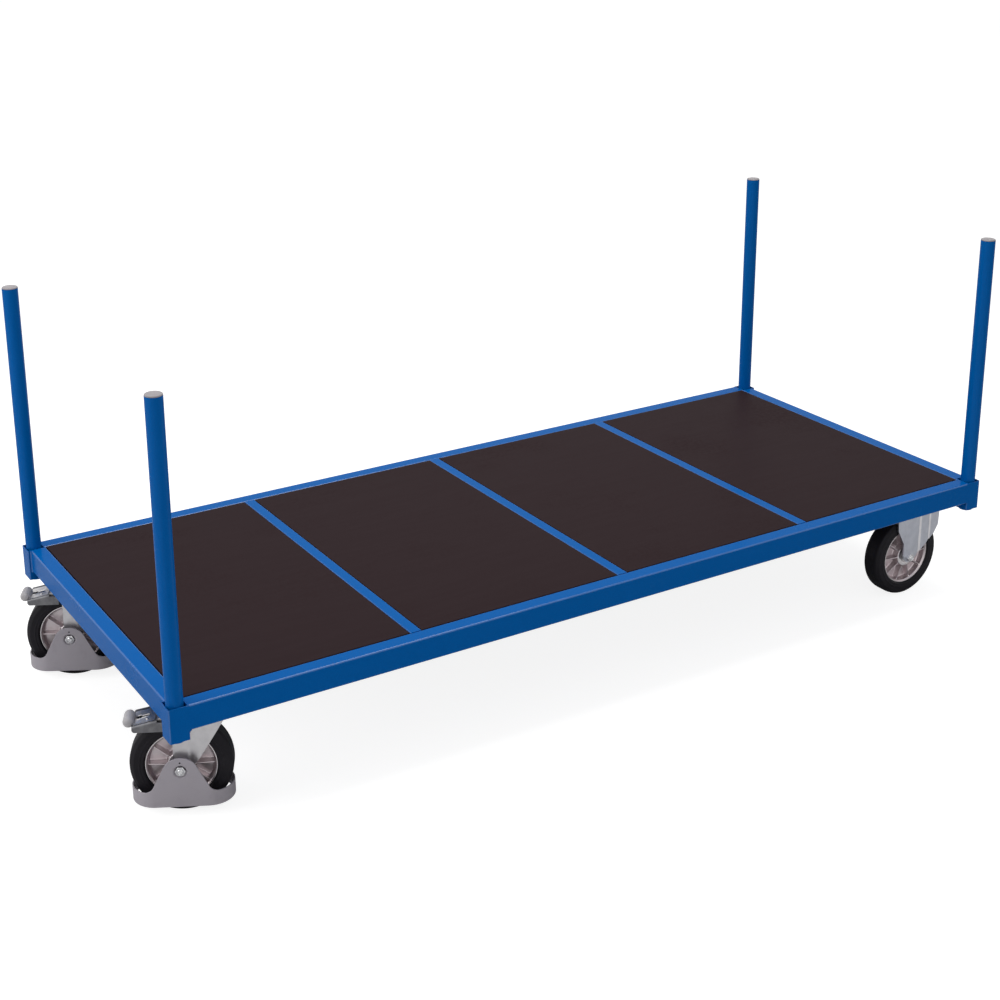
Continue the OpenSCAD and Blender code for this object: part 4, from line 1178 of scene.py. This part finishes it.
def make_lever(castor):
    """Sheet lever: tread, arms between the fork's legs, web, rivet, and a black pan under the key
    as painted shade.
    """
    bm = bmesh.new()
    make_tread(bm)
    bevel_sharp(bm, LEVER_EDGE, angle=60)
    for side in (-1, 1):
        near, far = sorted((side * ARM_OUTER, side * (ARM_OUTER - LEVER_SHEET)))
        plate(bm, [(x, z, 2) for x, z in ARM], near, far, edge=LEVER_EDGE)
        lathe(bm, [
            (0, ARM_OUTER - 3), (PIVOT_R, ARM_OUTER - 3), (PIVOT_R, FORK_HALF - 0.5),
            (0, FORK_HALF - 0.5)], (0, side, 0), (0, 0, PIVOT_Z), closed=False, steps=PIN_STEPS)
    sector = []
    for radius, start, end in ((WEB_R + LEVER_SHEET, WEB_FROM, WEB_TO), (WEB_R, WEB_TO, WEB_FROM)):
        for step in range(ARC_STEPS + 1):
            angle = math.radians(start + (end - start) * step / ARC_STEPS)
            sector.append((-radius * math.sin(angle), WHEEL_R + radius * math.cos(angle)))
    plate(bm, sector, -ARM_OUTER, ARM_OUTER, edge=LEVER_EDGE)
    lathe(bm, [(0, -2), (3, -2), (3, 0), (2.4, 1.6, 1), (0, 2)],
          centre=(RIVET_X, RIVET_Y, tread_height(RIVET_X) - DISH),
          closed=False, steps=SMALL_STEPS)
    # A black pan under the keyhole: painted shade for the inside of the lever
    outline = [(x, tread_height(x) - PAN_LOW) for x in PAN_X]
    outline += [(x, tread_height(x) - PAN_TOP) for x in reversed(PAN_X)]
    pan = plate(bm, outline, -PAN_HALF, PAN_HALF)
    for face in linked(pan, "link_faces"):
        face.material_index = FOURTH
    castor.dress(
        "brake_lever", "sheet", bm, castor.brake_body, [BRIGHT, PAINTED_BORDER_SHADE, PAINTED_FOLD_HIGHLIGHT, SHOE_RUBBER_AND_SHADE],
        "bright_steel")


KNOB_MIDDLE = (-96, 0, 192)
KNOB_R, KNOB_HALF, KNOB_END_R = 11, 21, 8


def make_knob(castor):
    """Round grey bar with soft ends, pushed on to the tread's edge."""
    bm = bmesh.new()
    lathe(bm, [
        (0, -KNOB_HALF), (KNOB_R, -KNOB_HALF, KNOB_END_R), (KNOB_R, KNOB_HALF, KNOB_END_R),
        (0, KNOB_HALF)], (0, 1, 0), KNOB_MIDDLE, closed=False, steps=TUBE_STEPS)
    castor.dress("brake_knob", "cap", bm, castor.brake_body, KNOB, "knob_plastic", smooth=60)


PIN_EDGE = 0.4


def make_hidden_steel(castor):
    """Kingpin and brake shoe with broken edges; the race balls keep their own shape."""
    dress_copy(castor.node("kingpin"), "pin", "root", BRIGHT, PIN_EDGE)
    dress_copy(
        castor.node("brake_shoe"), "pad", castor.brake_body, SHOE_RUBBER_AND_SHADE, FLAT_EDGE)
    balls = frame["nodes"][castor.node("swivel_balls")]
    balls.data.materials.clear()
    balls.data.materials.append(BRIGHT)


# Camera, floor and light

def make_camera():
    """The camera that the cart was fitted to the photograph with."""
    data = bpy.data.cameras.new("camera")
    data.sensor_width = SENSOR
    data.lens = FOCAL_PIXELS / PICTURE_WIDTH * SENSOR
    data.shift_x = 0.5 - CENTRE_COLUMN / PICTURE_WIDTH
    data.shift_y = CENTRE_ROW / PICTURE_WIDTH - 0.5
    data.clip_end = FAR_CLIP
    camera = bpy.data.objects.new("camera", data)
    heading = Matrix.Rotation(math.radians(-CAMERA_HEADING), 4, "Z")
    pitch = Matrix.Rotation(math.radians(90 + CAMERA_PITCH), 4, "X")
    roll = Matrix.Rotation(math.radians(CAMERA_ROLL), 4, "Z")
    camera.matrix_world = Matrix.Translation(Vector(CAMERA_PLACE) * MM) @ heading @ pitch @ roll
    bpy.context.scene.collection.objects.link(camera)
    bpy.context.scene.camera = camera


FLOOR_HALF = 60
FLOOR_GLOW = 0.85


def make_floor():
    """A white floor that keeps the cart's soft shadow and is clear from below."""
    bm = bmesh.new()
    bmesh.ops.create_grid(bm, x_segments=1, y_segments=1, size=FLOOR_HALF)
    mesh = bpy.data.meshes.new("floor")
    bm.to_mesh(mesh)
    bm.free()
    material = bpy.data.materials.new("white floor")
    material.use_nodes = True
    tree = material.node_tree
    tree.nodes.clear()
    seen = add_node(tree, "ShaderNodeLightPath").outputs["Is Camera Ray"]
    matt = add_node(tree, "ShaderNodeBsdfDiffuse", {"Color": (0.7, 0.7, 0.7, 1)}).outputs[0]
    paper = add_node(tree, "ShaderNodeBsdfDiffuse", {"Color": (0.4, 0.4, 0.4, 1)}).outputs[0]
    glow = add_node(tree, "ShaderNodeEmission", {"Strength": FLOOR_GLOW}).outputs[0]
    bright = add_node(tree, "ShaderNodeAddShader", {0: paper, 1: glow}).outputs[0]
    both = add_node(tree, "ShaderNodeMixShader", {0: seen, 1: matt, 2: bright}).outputs[0]
    below = add_node(tree, "ShaderNodeNewGeometry").outputs["Backfacing"]
    clear = add_node(tree, "ShaderNodeBsdfTransparent").outputs[0]
    sides = add_node(tree, "ShaderNodeMixShader", {0: below, 1: both, 2: clear}).outputs[0]
    add_node(tree, "ShaderNodeOutputMaterial", {"Surface": sides})
    mesh.materials.append(material)
    floor = bpy.data.objects.new("floor", mesh)
    bpy.context.scene.collection.objects.link(floor)


WORLD_LIGHT = 0.44


def make_world():
    """Soft white light all round; what the camera and metal see of it is plain white."""
    world = bpy.data.worlds.new("studio")
    bpy.context.scene.world = world
    world.use_nodes = True
    tree = world.node_tree
    tree.nodes.clear()
    path = add_node(tree, "ShaderNodeLightPath").outputs
    seen = add_node(tree, "ShaderNodeMath", {
        0: path["Is Camera Ray"], 1: path["Is Transmission Ray"]}, operation="MAXIMUM").outputs[0]
    shine = add_node(tree, "ShaderNodeMath", {
        0: seen, 1: path["Is Glossy Ray"]}, operation="MAXIMUM").outputs[0]
    strength = ramp(tree, shine, 0.0, 1.0, WORLD_LIGHT, 1.0)
    background = add_node(
        tree, "ShaderNodeBackground", {"Color": (1, 1, 1, 1), "Strength": strength})
    add_node(tree, "ShaderNodeOutputWorld", {"Surface": background.outputs[0]})


def make_lamp(name, place, target, size, power):
    """A soft rectangular lamp that points at a place, in metres and watts."""
    data = bpy.data.lights.new(name, "AREA")
    data.shape = "RECTANGLE"
    data.size, data.size_y = size
    data.energy = power
    lamp = bpy.data.objects.new(name, data)
    aim = Vector(target) - Vector(place)
    lamp.matrix_world = (
        Matrix.Translation(place) @ aim.to_track_quat("-Z", "Y").to_matrix().to_4x4())
    bpy.context.scene.collection.objects.link(lamp)


def make_light():
    """Three soft lamps: overhead, at the swivel castors' end, and low in front."""
    make_lamp("overhead softbox", (0, 0.3, 4.2), (0, 0, 0.3), (4.0, 2.4), 110)
    make_lamp("left softbox", (-4.2, 0.4, 2.2), (-0.6, 0, 0.4), (2.4, 2.4), 55)
    make_lamp("front strip", (-1.2, -4.5, 2.6), (0.2, 0, 0.4), (3.0, 0.5), 18)


make_camera()
make_floor()
make_world()
make_light()
bpy.context.scene.view_settings.view_transform = "Standard"

make_rails()
make_flats()
make_boards()
for side in (FRONT, BACK):
    for end in (LEFT, RIGHT):
        make_socket(side, end)
        make_stake(side, end)

all_castors = [Castor(side, fixed) for fixed in (False, True) for side in (FRONT, BACK)]
for castor in all_castors:
    make_tyre(castor)
    make_rim(castor)
    make_bearings(castor)
    if castor.fixed:
        make_axle(castor, FIXED_SEAT, FIXED_GAP)
        make_fixed_fork(castor)
    else:
        make_axle(castor, SWIVEL_SEAT, SWIVEL_GAP)
        make_head_plate(castor)
        make_fork(castor)
        make_guard(castor)
        make_lever(castor)
        make_knob(castor)
        make_hidden_steel(castor)
make_mounting_bolts(all_castors)
